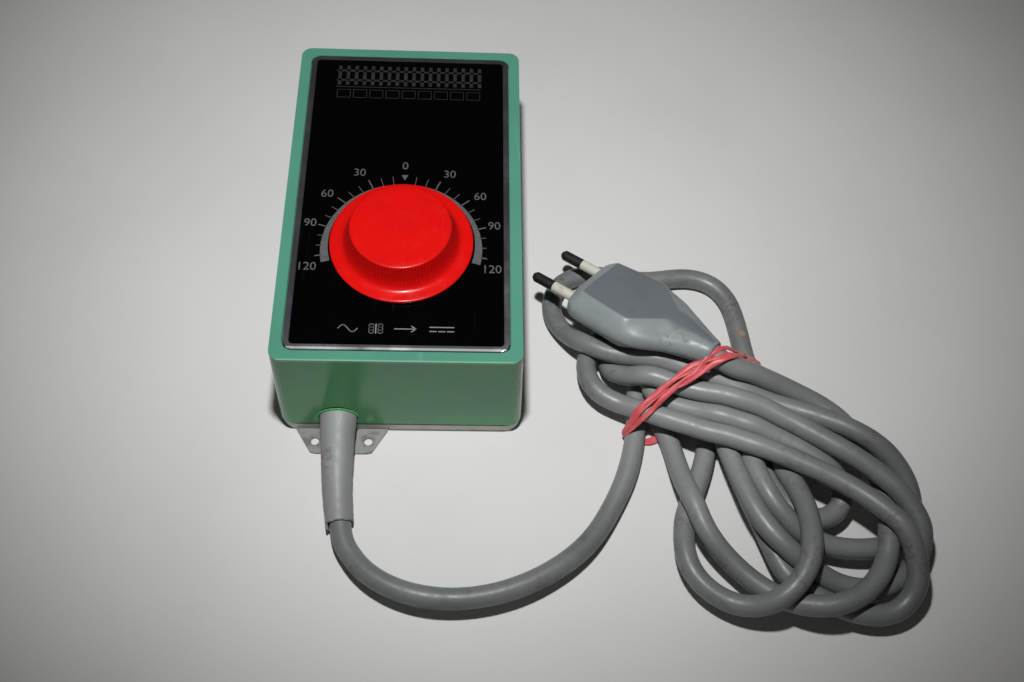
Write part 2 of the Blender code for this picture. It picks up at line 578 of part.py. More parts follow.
def build_hank(mat):
    """The hank's outer shape: full height from the band on, one layer of loops under the plug."""
    knots = [(x * MM, y * MM, 0.0) for x, y in HANK_PLAN]
    plan = [p.xy for p in smooth_path(knots, 6 * MM, closed=True)]
    hank = make_object("cord_hank", prism(plan, FLOOR_CLEARANCE, HANK_HEIGHT), mat)
    reach = 120 * MM
    corners = [(-reach, -reach), (reach * 2, -reach), (reach * 2, reach), (-reach, reach)]
    step = prism(corners, -reach, -5 * MM)
    lift = Matrix.Translation((0.0, 0.0, LOOP_HEIGHT + reach))
    cut(hank, step, lift @ band_frame())
    cut(hank, band_solid(GAP), band_frame())


def band_frame():
    along = (BAND_END - BAND_START).normalized()
    across = Vector((along.y, -along.x, 0.0))
    frame = Matrix((along, Vector((0, 0, 1)), across)).transposed().to_4x4()
    return Matrix.Translation(BAND_START) @ frame


def band_solid(extra):
    """The band as a flat loop round the hank, in an upright plane; extra widens it all round."""
    width = (BAND_END - BAND_START).length
    outer = rounded_rectangle(width + 2 * extra, BAND_TOP - 0.2 * MM + 2 * extra, 9 * MM, 5,
                              (width / 2, (BAND_TOP + 0.2 * MM) / 2))
    thick = 2 * (BAND_THICKNESS + 2 * extra)
    inner = rounded_rectangle(width + 2 * extra - thick, BAND_TOP - 0.2 * MM + 2 * extra - thick,
                              9 * MM - thick / 2, 5, (width / 2, (BAND_TOP + 0.2 * MM) / 2))
    bm = bmesh.new()
    rows = []
    for outline in (outer, inner):
        for depth in (-BAND_WIDTH / 2 - extra, BAND_WIDTH / 2 + extra):
            rows.append([bm.verts.new((x, y, depth)) for x, y in outline])
    count = len(outer)
    for a, b in ((0, 1), (1, 3), (3, 2), (2, 0)):
        for i in range(count):
            j = (i + 1) % count
            bm.faces.new((rows[a][i], rows[a][j], rows[b][j], rows[b][i]))
    return bm


def build_band(mat):
    make_object("rubber_band", band_solid(0.0), mat, band_frame())


def plug_frame():
    """+X runs along the pins, +Y across them and +Z up through the plug's flat top."""
    turn = (Matrix.Rotation(PLUG_YAW, 4, "Z") @ Matrix.Rotation(PLUG_NOSE_DOWN, 4, "Y")
            @ Matrix.Rotation(-PLUG_ROLL, 4, "X"))
    return Matrix.Translation(PLUG_FACE) @ turn


def plug_section(x, half_width, half_height, flatness):
    """A hexagon-like section with rounded flanks."""
    points = []
    for i in range(24):
        angle = 2 * math.pi * i / 24
        cosine = math.cos(angle)
        sine = math.sin(angle)
        y = half_width * math.copysign(abs(cosine) ** flatness, cosine)
        z = half_height * math.copysign(abs(sine) ** flatness, sine)
        points.append((x, y, z))
    return points


def build_plug(body_mat, metal_mat, insulation_mat):
    place = plug_frame()
    neck_r = CORD_R + 1.0 * MM
    sections = [
        plug_section(0.0, PLUG_HALF_WIDTH - 0.8 * MM, PLUG_HALF_HEIGHT - 0.6 * MM, 0.62),
        plug_section(-0.9 * MM, PLUG_HALF_WIDTH, PLUG_HALF_HEIGHT, 0.62),
        plug_section(-22 * MM, PLUG_HALF_WIDTH - 1.6 * MM, PLUG_HALF_HEIGHT, 0.66),
        plug_section(-29 * MM, PLUG_HALF_WIDTH - 4.6 * MM, PLUG_HALF_HEIGHT - 0.2 * MM, 0.75),
        plug_section(-PLUG_BODY, 9.4 * MM, 6.4 * MM, 0.9),
        plug_section(-PLUG_BODY - 3 * MM, 7.6 * MM, 6.1 * MM, 1.0),
        plug_section(-PLUG_BODY - PLUG_NECK + 0.6 * MM, neck_r, neck_r, 1.0),
        plug_section(-PLUG_BODY - PLUG_NECK, neck_r - 0.6 * MM, neck_r - 0.6 * MM, 1.0)]
    bm = bmesh.new()
    rows = [[bm.verts.new(p) for p in section] for section in sections]
    bm.faces.new(rows[0])
    bm.faces.new(rows[-1])
    for front, back in zip(rows, rows[1:]):
        for i in range(24):
            j = (i + 1) % 24
            bm.faces.new((front[i], front[j], back[j], back[i]))
    body = make_object("plug_body", bm, body_mat, place)

    forward = Matrix.Rotation(math.radians(90.0), 4, "Y")
    for number, side in enumerate((1, -1), start=1):
        seat = place @ at(0.0, side * PIN_SPACING / 2, 0.0) @ forward
        cut(body, cylinder(1.6 * MM, -8 * MM, MM, 16), seat)
        core = 1.3 * MM
        middle = PIN_LENGTH / 2
        pin = [(0.0, PIN_LENGTH), (1.2 * MM, PIN_LENGTH - 0.3 * MM), (PIN_R, PIN_LENGTH - 1.4 * MM),
               (PIN_R, middle + GAP), (core, middle + GAP), (core, -7.6 * MM), (0.0, -7.6 * MM)]
        make_object(f"plug_pin_{number}", turned(pin, 20), metal_mat, seat)
        sleeve = [(PIN_R - 0.05 * MM, middle), (PIN_R - 0.05 * MM, GAP), (core + GAP, GAP),
                  (core + GAP, middle)]
        make_object(f"pin_sleeve_{number}", turned(sleeve, 20, ring=True), insulation_mat, seat)


def build_tail(mat):
    """The last stretch of lead, from the plug's neck onto the top of the hank."""
    place = plug_frame()
    neck = place @ Vector((-PLUG_BODY - PLUG_NECK - GAP, 0.0, 0.0))
    direction = (place.to_3x3() @ Vector((-1.0, 0.0, 0.0))).normalized()
    rest = HANK_HEIGHT + GAP + CORD_R
    route = [neck + direction * 5 * MM, Vector((128.0 * MM, -61.5 * MM, rest + 1.2 * MM)),
             Vector((145.0 * MM, -69.0 * MM, rest + 0.1 * MM))]
    tube("cord_tail", [neck] + smooth_path(route, 2.0 * CORD_R), CORD_R, mat)


def main():
    clear_scene()
    green = material("green_plastic", (0.08, 0.27, 0.17), 0.3)
    grey_paint = material("grey_painted_steel", (0.27, 0.27, 0.25), 0.5, 0.3)
    aluminium = material("polished_aluminium", (0.6, 0.6, 0.64), 0.25, 1.0)
    dial = material("black_dial", (0.006, 0.006, 0.007), 0.35)
    red = material("red_plastic", (0.6, 0.01, 0.012), 0.35)
    steel = material("zinc_plated_steel", (0.55, 0.55, 0.56), 0.35, 1.0)
    brass = material("brass", (0.65, 0.5, 0.22), 0.35, 1.0)
    grey_pvc = material("grey_pvc", (0.16, 0.18, 0.18), 0.5)
    relief_pvc = material("relief_pvc", (0.27, 0.29, 0.3), 0.5)
    plug_pvc = material("plug_pvc", (0.2, 0.23, 0.24), 0.45)
    pin_metal = material("tarnished_pin", (0.08, 0.08, 0.08), 0.4, 1.0)
    pin_white = material("off_white_sleeve", (0.6, 0.6, 0.54), 0.5)
    rubber = material("red_rubber", (0.68, 0.12, 0.14), 0.6)
    phenolic = material("brown_phenolic", (0.16, 0.07, 0.03), 0.5)
    carbon = material("carbon", (0.02, 0.02, 0.02), 0.7)
    resistance = material("resistance_wire", (0.4, 0.34, 0.28), 0.4, 1.0)
    iron = material("core_iron", (0.1, 0.1, 0.11), 0.6, 0.8)
    nylon = material("bobbin_nylon", (0.65, 0.62, 0.52), 0.5)
    copper = material("enamelled_copper", (0.5, 0.18, 0.07), 0.35, 1.0)
    tape = material("yellow_tape", (0.6, 0.45, 0.06), 0.5)
    brown_wire = material("brown_wire", (0.15, 0.05, 0.02), 0.5)
    blue_wire = material("blue_wire", (0.03, 0.09, 0.4), 0.5)

    axis = bpy.data.objects.new("knob_axis", None)
    bpy.context.scene.collection.objects.link(axis)
    axis.location = KNOB_AXIS

    build_base(grey_paint)
    build_case(green)
    build_case_screws(steel)
    build_trim(aluminium, dial)
    build_knob(red, steel, brass, carbon, axis)
    build_speed_control(phenolic, resistance, steel)
    build_transformer(iron, nylon, copper, tape, steel)
    build_terminals(phenolic, brass)
    build_small_parts(phenolic, steel, (brown_wire, blue_wire))
    build_strain_relief(relief_pvc)
    build_lead(grey_pvc)
    build_hank(grey_pvc)
    build_band(rubber)
    build_plug(plug_pvc, pin_metal, pin_white)
    build_tail(grey_pvc)


main()
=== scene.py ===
import math

import bmesh
import bpy
import numpy as np
from mathutils import Matrix, Vector


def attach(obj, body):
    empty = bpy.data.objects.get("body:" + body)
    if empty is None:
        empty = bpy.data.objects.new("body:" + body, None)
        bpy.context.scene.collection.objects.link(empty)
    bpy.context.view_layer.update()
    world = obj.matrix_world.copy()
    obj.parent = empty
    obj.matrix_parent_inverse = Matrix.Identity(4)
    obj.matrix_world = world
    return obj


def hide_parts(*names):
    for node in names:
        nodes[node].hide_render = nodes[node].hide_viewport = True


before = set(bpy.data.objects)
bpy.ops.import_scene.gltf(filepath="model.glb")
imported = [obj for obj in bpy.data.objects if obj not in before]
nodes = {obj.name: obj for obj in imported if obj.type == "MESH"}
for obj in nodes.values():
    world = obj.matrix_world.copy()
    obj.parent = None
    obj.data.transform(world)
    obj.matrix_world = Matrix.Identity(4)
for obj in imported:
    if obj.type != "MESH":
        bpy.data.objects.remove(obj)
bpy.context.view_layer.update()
scene = bpy.context.scene

# Places and sizes are in millimetres in the CAD's frame, unless they are multiplied by MM.
MM = 0.001
DIAL_TOP = 49.25
KNOB_Y = -22.1
FRONT_WALL = -68.0
CORD_R = 3.65
CORD_GAP = 7.4      # closest that two strands' middles come
CORD_LOW = 3.66     # height of a strand that lies on the floor
CORD_SIDES = 22
PLUG_FACE = Vector((68.3, -18.8, 19.0))
PLUG_YAW = math.radians(142.0)
PLUG_NOSE_DOWN = math.radians(9.0)
PLUG_ROLL = math.radians(-17.0)
BAND_START = Vector((78.5, -77.5, 0.0))
BAND_END = Vector((131.5, -43.5, 0.0))
CAMERA_PLACE = Vector((21.44, -240.9, 364.3))
CAMERA_FORWARD = Vector((0.04485, 0.49722, -0.86646))
CAMERA_RIGHT = Vector((0.99887, -0.0088, 0.04665))


def plug_frame():
    """+X runs along the pins, +Y across them and +Z up through the plug's flat top."""
    turn = (Matrix.Rotation(PLUG_YAW, 4, "Z") @ Matrix.Rotation(PLUG_NOSE_DOWN, 4, "Y")
            @ Matrix.Rotation(-PLUG_ROLL, 4, "X"))
    return Matrix.Translation(PLUG_FACE) @ turn


PLUG_PLACE = plug_frame()


# ---------------------------------------------------------------- camera, floor and light

camera_data = bpy.data.cameras.new("camera")
camera_data.lens = 38.83
camera_data.sensor_width = 36.0
camera_data.clip_start = 0.01
camera = bpy.data.objects.new("camera", camera_data)
scene.collection.objects.link(camera)
forward = CAMERA_FORWARD.normalized()
up = CAMERA_RIGHT.cross(forward).normalized()
right = forward.cross(up)
camera.matrix_world = (Matrix.Translation(CAMERA_PLACE * MM)
                       @ Matrix((right, up, -forward)).transposed().to_4x4())
scene.camera = camera


def light(name, kind, energy, place, target, size, **more):
    """A lamp at a place, turned to a target; both are in metres."""
    data = bpy.data.lights.new(name, kind)
    data.energy = energy
    if kind == "AREA":
        data.size = size
    else:
        data.shadow_soft_size = size
    for key, value in more.items():
        setattr(data, key, value)
    obj = bpy.data.objects.new(name, data)
    scene.collection.objects.link(obj)
    obj.location = Vector(place)
    obj.rotation_euler = (Vector(target) - Vector(place)).to_track_quat("-Z", "Y").to_euler()


light("key", "SPOT", energy=6.4, place=(0.008, -0.09, 0.415), target=(0.034, 0.043, 0.0), size=0.012,
      spot_size=math.radians(84.0), spot_blend=1.0, color=(1.0, 0.995, 0.985))
light("fill", "AREA", energy=0.12, place=(-0.3, -0.6, 0.55), target=(0.03, -0.06, 0.02), size=0.5)

world = bpy.data.worlds.new("world")
world.use_nodes = True
backdrop = world.node_tree.nodes["Background"]
backdrop.inputs["Color"].default_value = (1.0, 0.91, 0.82, 1.0)
backdrop.inputs["Strength"].default_value = 0.024
scene.world = world
scene.view_settings.view_transform = "Standard"


# ---------------------------------------------------------------- materials

def linear(colour):
    """An sRGB colour given as 0-255 numbers, as linear RGBA."""
    out = []
    for value in colour:
        value = value / 255
        out.append(value / 12.92 if value <= 0.04045 else ((value + 0.055) / 1.055) ** 2.4)
    return (*out, 1.0)


class Finish:
    """A Principled material built up in layers over object coordinates."""

    def __init__(self, name, colour, roughness, metallic=0.0, **sockets):
        self.material = bpy.data.materials.new(name + "_finish")
        self.material.use_nodes = True
        self.tree = self.material.node_tree
        self.shader = self.tree.nodes["Principled BSDF"]
        self.shader.inputs["Metallic"].default_value = metallic
        for key, value in sockets.items():
            self.shader.inputs[key.replace("_", " ")].default_value = value
        self.place = self.tree.nodes.new("ShaderNodeTexCoord").outputs["Object"]
        base = self.tree.nodes.new("ShaderNodeRGB")
        base.outputs[0].default_value = linear(colour)
        self.colour = base.outputs[0]
        rough = self.tree.nodes.new("ShaderNodeValue")
        rough.outputs[0].default_value = roughness
        self.roughness = rough.outputs[0]
        self.normal = None

    def node(self, kind, inputs=(), **settings):
        """A shader node; inputs are pairs of a socket and a link or a value for it."""
        new = self.tree.nodes.new(kind)
        for key, value in settings.items():
            setattr(new, key, value)
        for key, value in inputs:
            if isinstance(value, bpy.types.NodeSocket):
                self.tree.links.new(value, new.inputs[key])
            else:
                new.inputs[key].default_value = value
        return new

    def noise(self, scale, detail=4.0, stretch=None, roughness=0.55, offset=(0.0, 0.0, 0.0)):
        """Noise with features of about 1/scale metres, stretched along an axis if asked."""
        place = self.place
        if stretch or any(offset):
            mapping = [("Vector", place), ("Scale", stretch or (1.0, 1.0, 1.0)), ("Location", offset)]
            place = self.node("ShaderNodeMapping", mapping).outputs[0]
        return self.node("ShaderNodeTexNoise", [("Vector", place), ("Scale", scale), ("Detail", detail),
                                                ("Roughness", roughness)]).outputs[0]

    def ramp(self, value, low, high, out_low=0.0, out_high=1.0):
        """A smooth step from out_low at low to out_high at high."""
        return self.node("ShaderNodeMapRange", [("Value", value), ("From Min", low), ("From Max", high),
                                                ("To Min", out_low), ("To Max", out_high)],
                         interpolation_type="SMOOTHSTEP").outputs[0]

    def math(self, operation, a, b=0.0):
        return self.node("ShaderNodeMath", [(0, a), (1, b)], operation=operation).outputs[0]

    def tint(self, mask, colour, amount=1.0):
        """Mixes a colour in where the mask is high."""
        factor = self.math("MULTIPLY", mask, amount)
        mix = self.node("ShaderNodeMix", data_type="RGBA")
        self.tree.links.new(factor, mix.inputs[0])
        self.tree.links.new(self.colour, mix.inputs[6])
        mix.inputs[7].default_value = linear(colour)
        self.colour = mix.outputs[2]

    def rough(self, mask, amount):
        """Makes the surface rougher where the mask is high."""
        self.roughness = self.math("ADD", self.roughness, self.math("MULTIPLY", mask, amount))

    def bump(self, height, distance, strength):
        """Adds a bump of a height mask, with the distance in millimetres."""
        inputs = [("Height", height), ("Distance", distance * MM), ("Strength", strength)]
        if self.normal:
            inputs.append(("Normal", self.normal))
        self.normal = self.node("ShaderNodeBump", inputs).outputs[0]

    def scratches(self, scale, seed, width=0.008, angle=0.4):
        """Thin scattered lines, as a mask."""
        turned = self.node("ShaderNodeMapping", [
            ("Vector", self.place), ("Rotation", (0.0, 0.0, angle)), ("Scale", (1.0, 0.05, 1.0)),
            ("Location", (seed, seed, 0.0))]).outputs[0]
        field = self.node("ShaderNodeTexNoise", [("Vector", turned), ("Scale", scale),
                                                 ("Detail", 1.0)]).outputs[0]
        off = self.math("ABSOLUTE", self.math("SUBTRACT", field, 0.5))
        line = self.ramp(off, 0.0, width, 1.0, 0.0)
        patch = self.ramp(self.noise(scale * 0.12, 2.0, offset=(seed, 0.0, 0.0)), 0.52, 0.62)
        return self.math("MULTIPLY", line, patch)

    def spot(self, centre, inner, outer):
        """A soft ball-shaped mask round a point, in millimetres."""
        away = self.node("ShaderNodeVectorMath", [(0, self.place), (1, tuple(Vector(centre) * MM))],
                         operation="DISTANCE").outputs["Value"]
        return self.ramp(away, inner * MM, outer * MM, 1.0, 0.0)

    def along(self, axis):
        """The object coordinate on one axis, in metres."""
        parts = self.node("ShaderNodeSeparateXYZ", [(0, self.place)])
        return parts.outputs["XYZ".index(axis)]

    def done(self):
        self.tree.links.new(self.colour, self.shader.inputs["Base Color"])
        self.tree.links.new(self.roughness, self.shader.inputs["Roughness"])
        if self.normal:
            self.tree.links.new(self.normal, self.shader.inputs["Normal"])
        return self.material


def case_finish():
    """Glossy green moulding. The front wall's purer green and the pale line along its upper edge imitate the
    photo's light; the real case is presumably one colour."""
    f = Finish("case_green", (82, 145, 124), 0.17, Specular_IOR_Level=0.36, Coat_Weight=0.1,
               Coat_Roughness=0.08)
    front = f.ramp(f.along("Y"), (FRONT_WALL + 0.4) * MM, (FRONT_WALL - 0.3) * MM)
    f.tint(front, (77, 167, 90), 0.75)
    f.tint(f.ramp(f.noise(28.0, 5.0), 0.35, 0.7), (76, 133, 116), 0.5)
    f.tint(f.ramp(f.noise(900.0, 3.0), 0.62, 0.75), (96, 150, 124), 0.25)
    marks = f.scratches(120.0, 3.1, 0.006)
    f.tint(marks, (140, 180, 158), 0.35)
    f.rough(f.ramp(f.noise(45.0, 6.0, offset=(4.0, 0.0, 0.0)), 0.4, 0.75), 0.14)
    f.rough(marks, 0.2)
    edge = f.math("MULTIPLY", f.ramp(f.along("Z"), 47.5 * MM, 48.2 * MM), front)
    f.tint(edge, (150, 196, 176), 0.55)
    f.bump(f.noise(520.0, 2.0), 0.02, 0.25)
    f.bump(f.noise(30.0, 2.0), 0.12, 0.25)
    return f.done()


def dial_finish():
    f = Finish("dial_black", (2, 2, 3), 0.08, Specular_IOR_Level=0.35)
    f.tint(f.ramp(f.noise(1500.0, 4.0), 0.7, 0.77), (60, 62, 64), 0.3)
    marks = f.scratches(160.0, 7.7, 0.004, 0.9)
    f.tint(marks, (60, 62, 64), 0.25)
    f.rough(f.ramp(f.noise(60.0, 6.0), 0.45, 0.7), 0.06)
    f.rough(marks, 0.2)
    f.bump(f.noise(40.0, 2.0), 0.05, 0.15)
    return f.done()


def metal_finish(name, colour, roughness):
    """Brushed metal with a little dirt."""
    f = Finish(name, colour, roughness, 0.9)
    brushed = f.noise(1800.0, 3.0, (1.0, 0.04, 1.0))
    f.tint(f.ramp(brushed, 0.35, 0.7), tuple(int(c * 0.84) for c in colour), 0.6)
    f.tint(f.ramp(f.noise(110.0, 6.0), 0.6, 0.78), (70, 68, 62), 0.45)
    f.rough(f.ramp(f.noise(90.0, 5.0), 0.4, 0.75), 0.2)
    f.bump(brushed, 0.02, 0.35)
    return f.done()


def trim_finish():
    """Lightly brushed frame. The white streak painted on its front bevel stands for the photo's glint."""
    f = Finish("trim_aluminium", (112, 112, 120), 0.3, 0.85)
    brushed = f.noise(1800.0, 3.0, (1.0, 0.04, 1.0))
    f.tint(f.ramp(brushed, 0.35, 0.7), (92, 92, 98), 0.5)
    f.tint(f.ramp(f.noise(140.0, 6.0), 0.62, 0.8), (64, 62, 60), 0.35)
    # Painted light: the front part of the frame is painted lighter.
    front = f.ramp(f.along("Y"), -59.5 * MM, -61.0 * MM)
    f.tint(front, (122, 122, 130), 0.6)
    streaks = f.ramp(f.noise(60.0, 3.0, (1.0, 0.05, 0.05)), 0.3, 0.44)
    bevel = f.ramp(f.along("Y"), -63.2 * MM, -63.5 * MM)
    f.tint(f.math("MULTIPLY", bevel, streaks), (248, 250, 254), 0.9)
    f.rough(f.ramp(f.noise(90.0, 5.0), 0.4, 0.75), 0.15)
    f.bump(brushed, 0.02, 0.3)
    return f.done()


def knob_finish():
    """Glossy red, with pale scratches left of the cap's middle."""
    f = Finish("knob_red", (208, 16, 14), 0.24, Specular_IOR_Level=0.19, Coat_Weight=0.04,
               Coat_Roughness=0.12)
    f.tint(f.ramp(f.noise(60.0, 5.0), 0.4, 0.75), (190, 12, 12), 0.5)
    marks = f.scratches(150.0, 1.3, 0.01, 0.6)
    near = f.spot((-5.0, -21.0, 60.0), 1.0, 9.0)
    f.tint(f.math("MULTIPLY", marks, near), (250, 190, 175), 0.8)
    f.tint(f.scratches(260.0, 5.9, 0.005, 2.2), (240, 120, 105), 0.3)
    f.rough(f.ramp(f.noise(220.0, 6.0), 0.45, 0.75), 0.18)
    f.bump(f.noise(700.0, 3.0), 0.03, 0.25)
    f.bump(marks, -0.03, 0.5)
    return f.done()


def rubber_finish(name, colour, shade, grime, roughness, amount, specular=0.5):
    """Soft moulded PVC: cloudy colour, brown grime in patches, fine dents."""
    f = Finish(name, colour, roughness, Specular_IOR_Level=specular)
    f.tint(f.ramp(f.noise(55.0, 5.0), 0.35, 0.7), shade, 0.7)
    patches = f.ramp(f.noise(75.0, 7.0, roughness=0.65, offset=(2.0, 5.0, 1.0)), 0.5, 0.68)
    fine = f.ramp(f.noise(420.0, 6.0, roughness=0.7), 0.42, 0.62)
    f.tint(f.math("MULTIPLY", patches, fine), grime, amount)
    f.tint(f.ramp(f.noise(1300.0, 4.0), 0.66, 0.74), (48, 42, 38), 0.5)
    f.rough(patches, 0.15)
    f.rough(f.ramp(f.noise(300.0, 5.0), 0.4, 0.7), 0.12)
    f.bump(f.noise(260.0, 5.0), 0.08, 0.35)
    f.bump(f.noise(1600.0, 3.0), 0.015, 0.3)
    return f


def cord_finish():
    """Grey cord with a worn patch and a stain. Its paler middle and darker far end imitate the photo's
    light."""
    f = rubber_finish("cord_grey", (122, 126, 126), (104, 109, 108), (84, 74, 64), 0.38, 0.75, 0.55)
    worn_at = (127.5, -31.0, 7.0)
    f.tint(f.spot((104.0, -76.0, 22.0), 14.0, 50.0), (158, 162, 163), 0.5)
    f.tint(f.ramp(f.along("X"), 150.0 * MM, 184.0 * MM), (84, 86, 84), 0.45)
    worn = f.spot(worn_at, 1.6, 3.0)
    ring = f.math("SUBTRACT", worn, f.spot(worn_at, 0.6, 2.0))
    f.tint(worn, (170, 158, 146), 0.45)
    f.tint(ring, (112, 74, 52), 0.6)
    f.tint(f.spot((166.0, -87.0, 22.0), 1.0, 3.2), (92, 62, 46), 0.5)
    return f.done()


def relief_finish():
    """Paler grey than the cord, with painted shade darkening its left and right sides, brownish on the
    right.
    """
    f = rubber_finish("relief_grey", (150, 155, 156), (136, 140, 140), (108, 98, 86), 0.46, 0.65, 0.4)
    # Painted shade: the right side is painted darker and brownish, the left side darker.
    f.tint(f.ramp(f.along("X"), -20.6 * MM, -17.0 * MM), (122, 118, 110), 0.45)
    f.tint(f.ramp(f.along("X"), -22.6 * MM, -26.0 * MM), (132, 130, 126), 0.4)
    return f.done()


def plug_finish():
    """Moulded grey, darker and duller on the flat panel on top, as it looks in the photo's light."""
    f = rubber_finish("plug_grey", (140, 147, 150), (124, 131, 134), (84, 76, 68), 0.36, 0.6, 0.42)
    normal = f.tree.nodes.new("ShaderNodeTexCoord").outputs["Normal"]
    top = tuple((PLUG_PLACE.to_3x3() @ Vector((0.0, 0.0, 1.0))).normalized())
    facing = f.node("ShaderNodeVectorMath", [(0, normal), (1, top)], operation="DOT_PRODUCT")
    panel = f.ramp(facing.outputs["Value"], 0.955, 0.99)
    f.tint(panel, (98, 103, 109), 0.75)
    f.rough(panel, 0.12)
    return f.done()


def band_finish():
    f = Finish("band_rubber", (212, 86, 92), 0.38, Specular_IOR_Level=0.45, Subsurface_Weight=0.12,
               Subsurface_Radius=(0.0012, 0.0004, 0.0004))
    f.tint(f.ramp(f.noise(160.0, 4.0), 0.4, 0.7), (232, 118, 122), 0.6)
    f.tint(f.ramp(f.noise(600.0, 5.0), 0.6, 0.75), (168, 52, 60), 0.5)
    f.bump(f.noise(900.0, 4.0, (0.25, 0.25, 1.0)), 0.06, 0.5)
    return f.done()


def print_finish(name, colour):
    f = Finish(name, colour, 0.4)
    f.tint(f.ramp(f.noise(900.0, 5.0), 0.5, 0.75), tuple(int(c * 0.6) for c in colour), 0.5)
    f.rough(f.ramp(f.noise(400.0, 3.0), 0.4, 0.7), 0.2)
    return f.done()


def floor_finish():
    f = Finish("floor_paper", (222, 222, 221), 0.55, Specular_IOR_Level=0.25)
    f.tint(f.ramp(f.noise(9.0, 6.0), 0.4, 0.7), (214, 214, 214), 0.6)
    f.bump(f.noise(420.0, 5.0), 0.05, 0.12)
    return f.done()


def base_finish():
    """Grey painted sheet, worn on the lugs, with painted light on its rim and a dark line of painted shade
    for the gap under the case.
    """
    f = Finish("base_paint", (150, 150, 143), 0.42, 0.25)
    f.tint(f.ramp(f.noise(120.0, 6.0), 0.45, 0.72), (126, 127, 122), 0.6)
    # Painted light: the rim above the lugs is painted paler.
    f.tint(f.ramp(f.along("Z"), 0.9 * MM, 1.5 * MM), (196, 195, 184), 0.85)
    # Painted shade: above 4.7 mm the sheet is painted dark for the shaded gap under the case.
    f.tint(f.ramp(f.along("Z"), 4.5 * MM, 4.7 * MM), (44, 50, 44), 0.9)
    reach = f.math("ABSOLUTE", f.along("Y"))
    lug = f.math("MULTIPLY", f.ramp(reach, 68.2 * MM, 69.2 * MM),
                 f.ramp(f.along("Z"), 1.6 * MM, 1.1 * MM))
    f.tint(lug, (128, 132, 131), 0.8)
    f.tint(f.math("MULTIPLY", lug, f.ramp(f.noise(260.0, 6.0), 0.5, 0.66)), (92, 92, 88), 0.7)
    for end in (-1, 1):
        for side in (-1, 1):
            hole = (end * 21.2 + side * 9.5, end * 74.9, 1.0)
            worn = f.spot(hole, 1.9, 3.4)
            f.tint(f.math("MULTIPLY", worn, f.ramp(f.noise(700.0, 4.0), 0.35, 0.6)), (96, 90, 80), 0.6)
    f.rough(f.ramp(f.noise(200.0, 5.0), 0.4, 0.7), 0.2)
    f.bump(f.noise(500.0, 4.0), 0.03, 0.4)
    return f.done()


def plain_finish(name, colour, roughness, metallic=0.0, scale=300.0):
    f = Finish(name, colour, roughness, metallic)
    f.tint(f.ramp(f.noise(scale, 5.0), 0.4, 0.72), tuple(int(c * 0.8) for c in colour), 0.6)
    f.rough(f.ramp(f.noise(scale * 0.6, 4.0), 0.4, 0.7), 0.2)
    f.bump(f.noise(scale * 2.5, 4.0), 0.03, 0.4)
    return f.done()


MATERIALS = {
    "case_green": case_finish(),
    "dial_black": dial_finish(),
    "trim_aluminium": trim_finish(),
    "zinc_steel": metal_finish("zinc_steel", (170, 170, 165), 0.35),
    "pin_metal": plain_finish("pin_metal", (58, 58, 57), 0.38, 0.7, 500.0),
    "knob_red": knob_finish(),
    "base_paint": base_finish(),
    "cord_grey": cord_finish(),
    "relief_grey": relief_finish(),
    "plug_grey": plug_finish(),
    "pin_insulation": rubber_finish("pin_insulation", (205, 204, 192), (190, 188, 174), (120, 104, 84),
                                    0.35, 0.7).done(),
    "band_rubber": band_finish(),
    "brass": metal_finish("brass", (196, 160, 88), 0.3),
    "carbon": plain_finish("carbon", (40, 40, 42), 0.6),
    "phenolic": plain_finish("phenolic", (92, 60, 36), 0.45, 0.0, 400.0),
    "resistance_wire": plain_finish("resistance_wire", (150, 146, 138), 0.35, 0.8, 900.0),
    "core_iron": plain_finish("core_iron", (82, 80, 80), 0.5, 0.5),
    "bobbin_nylon": plain_finish("bobbin_nylon", (214, 208, 190), 0.5),
    "winding_copper": plain_finish("winding_copper", (168, 84, 46), 0.3, 0.7, 900.0),
    "wire_brown": plain_finish("wire_brown", (96, 56, 34), 0.4),
    "wire_blue": plain_finish("wire_blue", (40, 78, 150), 0.4),
}
PRINT_GREY = print_finish("print_grey", (84, 86, 88))
PRINT_DIM = print_finish("print_dim", (40, 40, 43))
PRINT_LIGHT = print_finish("print_light", (124, 128, 132))

for node in nodes.values():
    for place in node.material_slots:
        place.material = MATERIALS[place.material.name]

bpy.ops.mesh.primitive_plane_add(size=3.0, location=(0.0, 0.0, -0.0001))
floor = bpy.context.object
floor.name = "floor"
floor.data.materials.append(floor_finish())


# ---------------------------------------------------------------- mesh helpers

def make_piece(name, points, faces, mat, body, smooth=True, sharp=35.0):
    """A mesh piece from points in millimetres, riding on a body."""
    mesh = bpy.data.meshes.new(name)
    mesh.from_pydata([tuple(np.asarray(p) * MM) for p in points], [], faces)
    mesh.validate()
    bm = bmesh.new()
    bm.from_mesh(mesh)
    bmesh.ops.recalc_face_normals(bm, faces=bm.faces)
    bm.to_mesh(mesh)
    bm.free()
    mesh.materials.append(mat)
    if smooth:
        mesh.shade_smooth()
        mesh.set_sharp_from_angle(angle=math.radians(sharp))
    obj = bpy.data.objects.new(name, mesh)
    scene.collection.objects.link(obj)
    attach(obj, body)
    return obj


def grid_faces(rows, columns, close_rows=False, start=0):
    """Faces of a skin of rows, each a closed ring of columns points, with its two ends capped."""
    faces = []
    for r in range(rows if close_rows else rows - 1):
        for c in range(columns):
            d = (c + 1) % columns
            s = (r + 1) % rows
            faces.append([start + r * columns + c, start + r * columns + d, start + s * columns + d,
                          start + s * columns + c])
    if not close_rows:
        faces.append([start + c for c in range(columns)][::-1])
        faces.append([start + (rows - 1) * columns + c for c in range(columns)])
    return faces


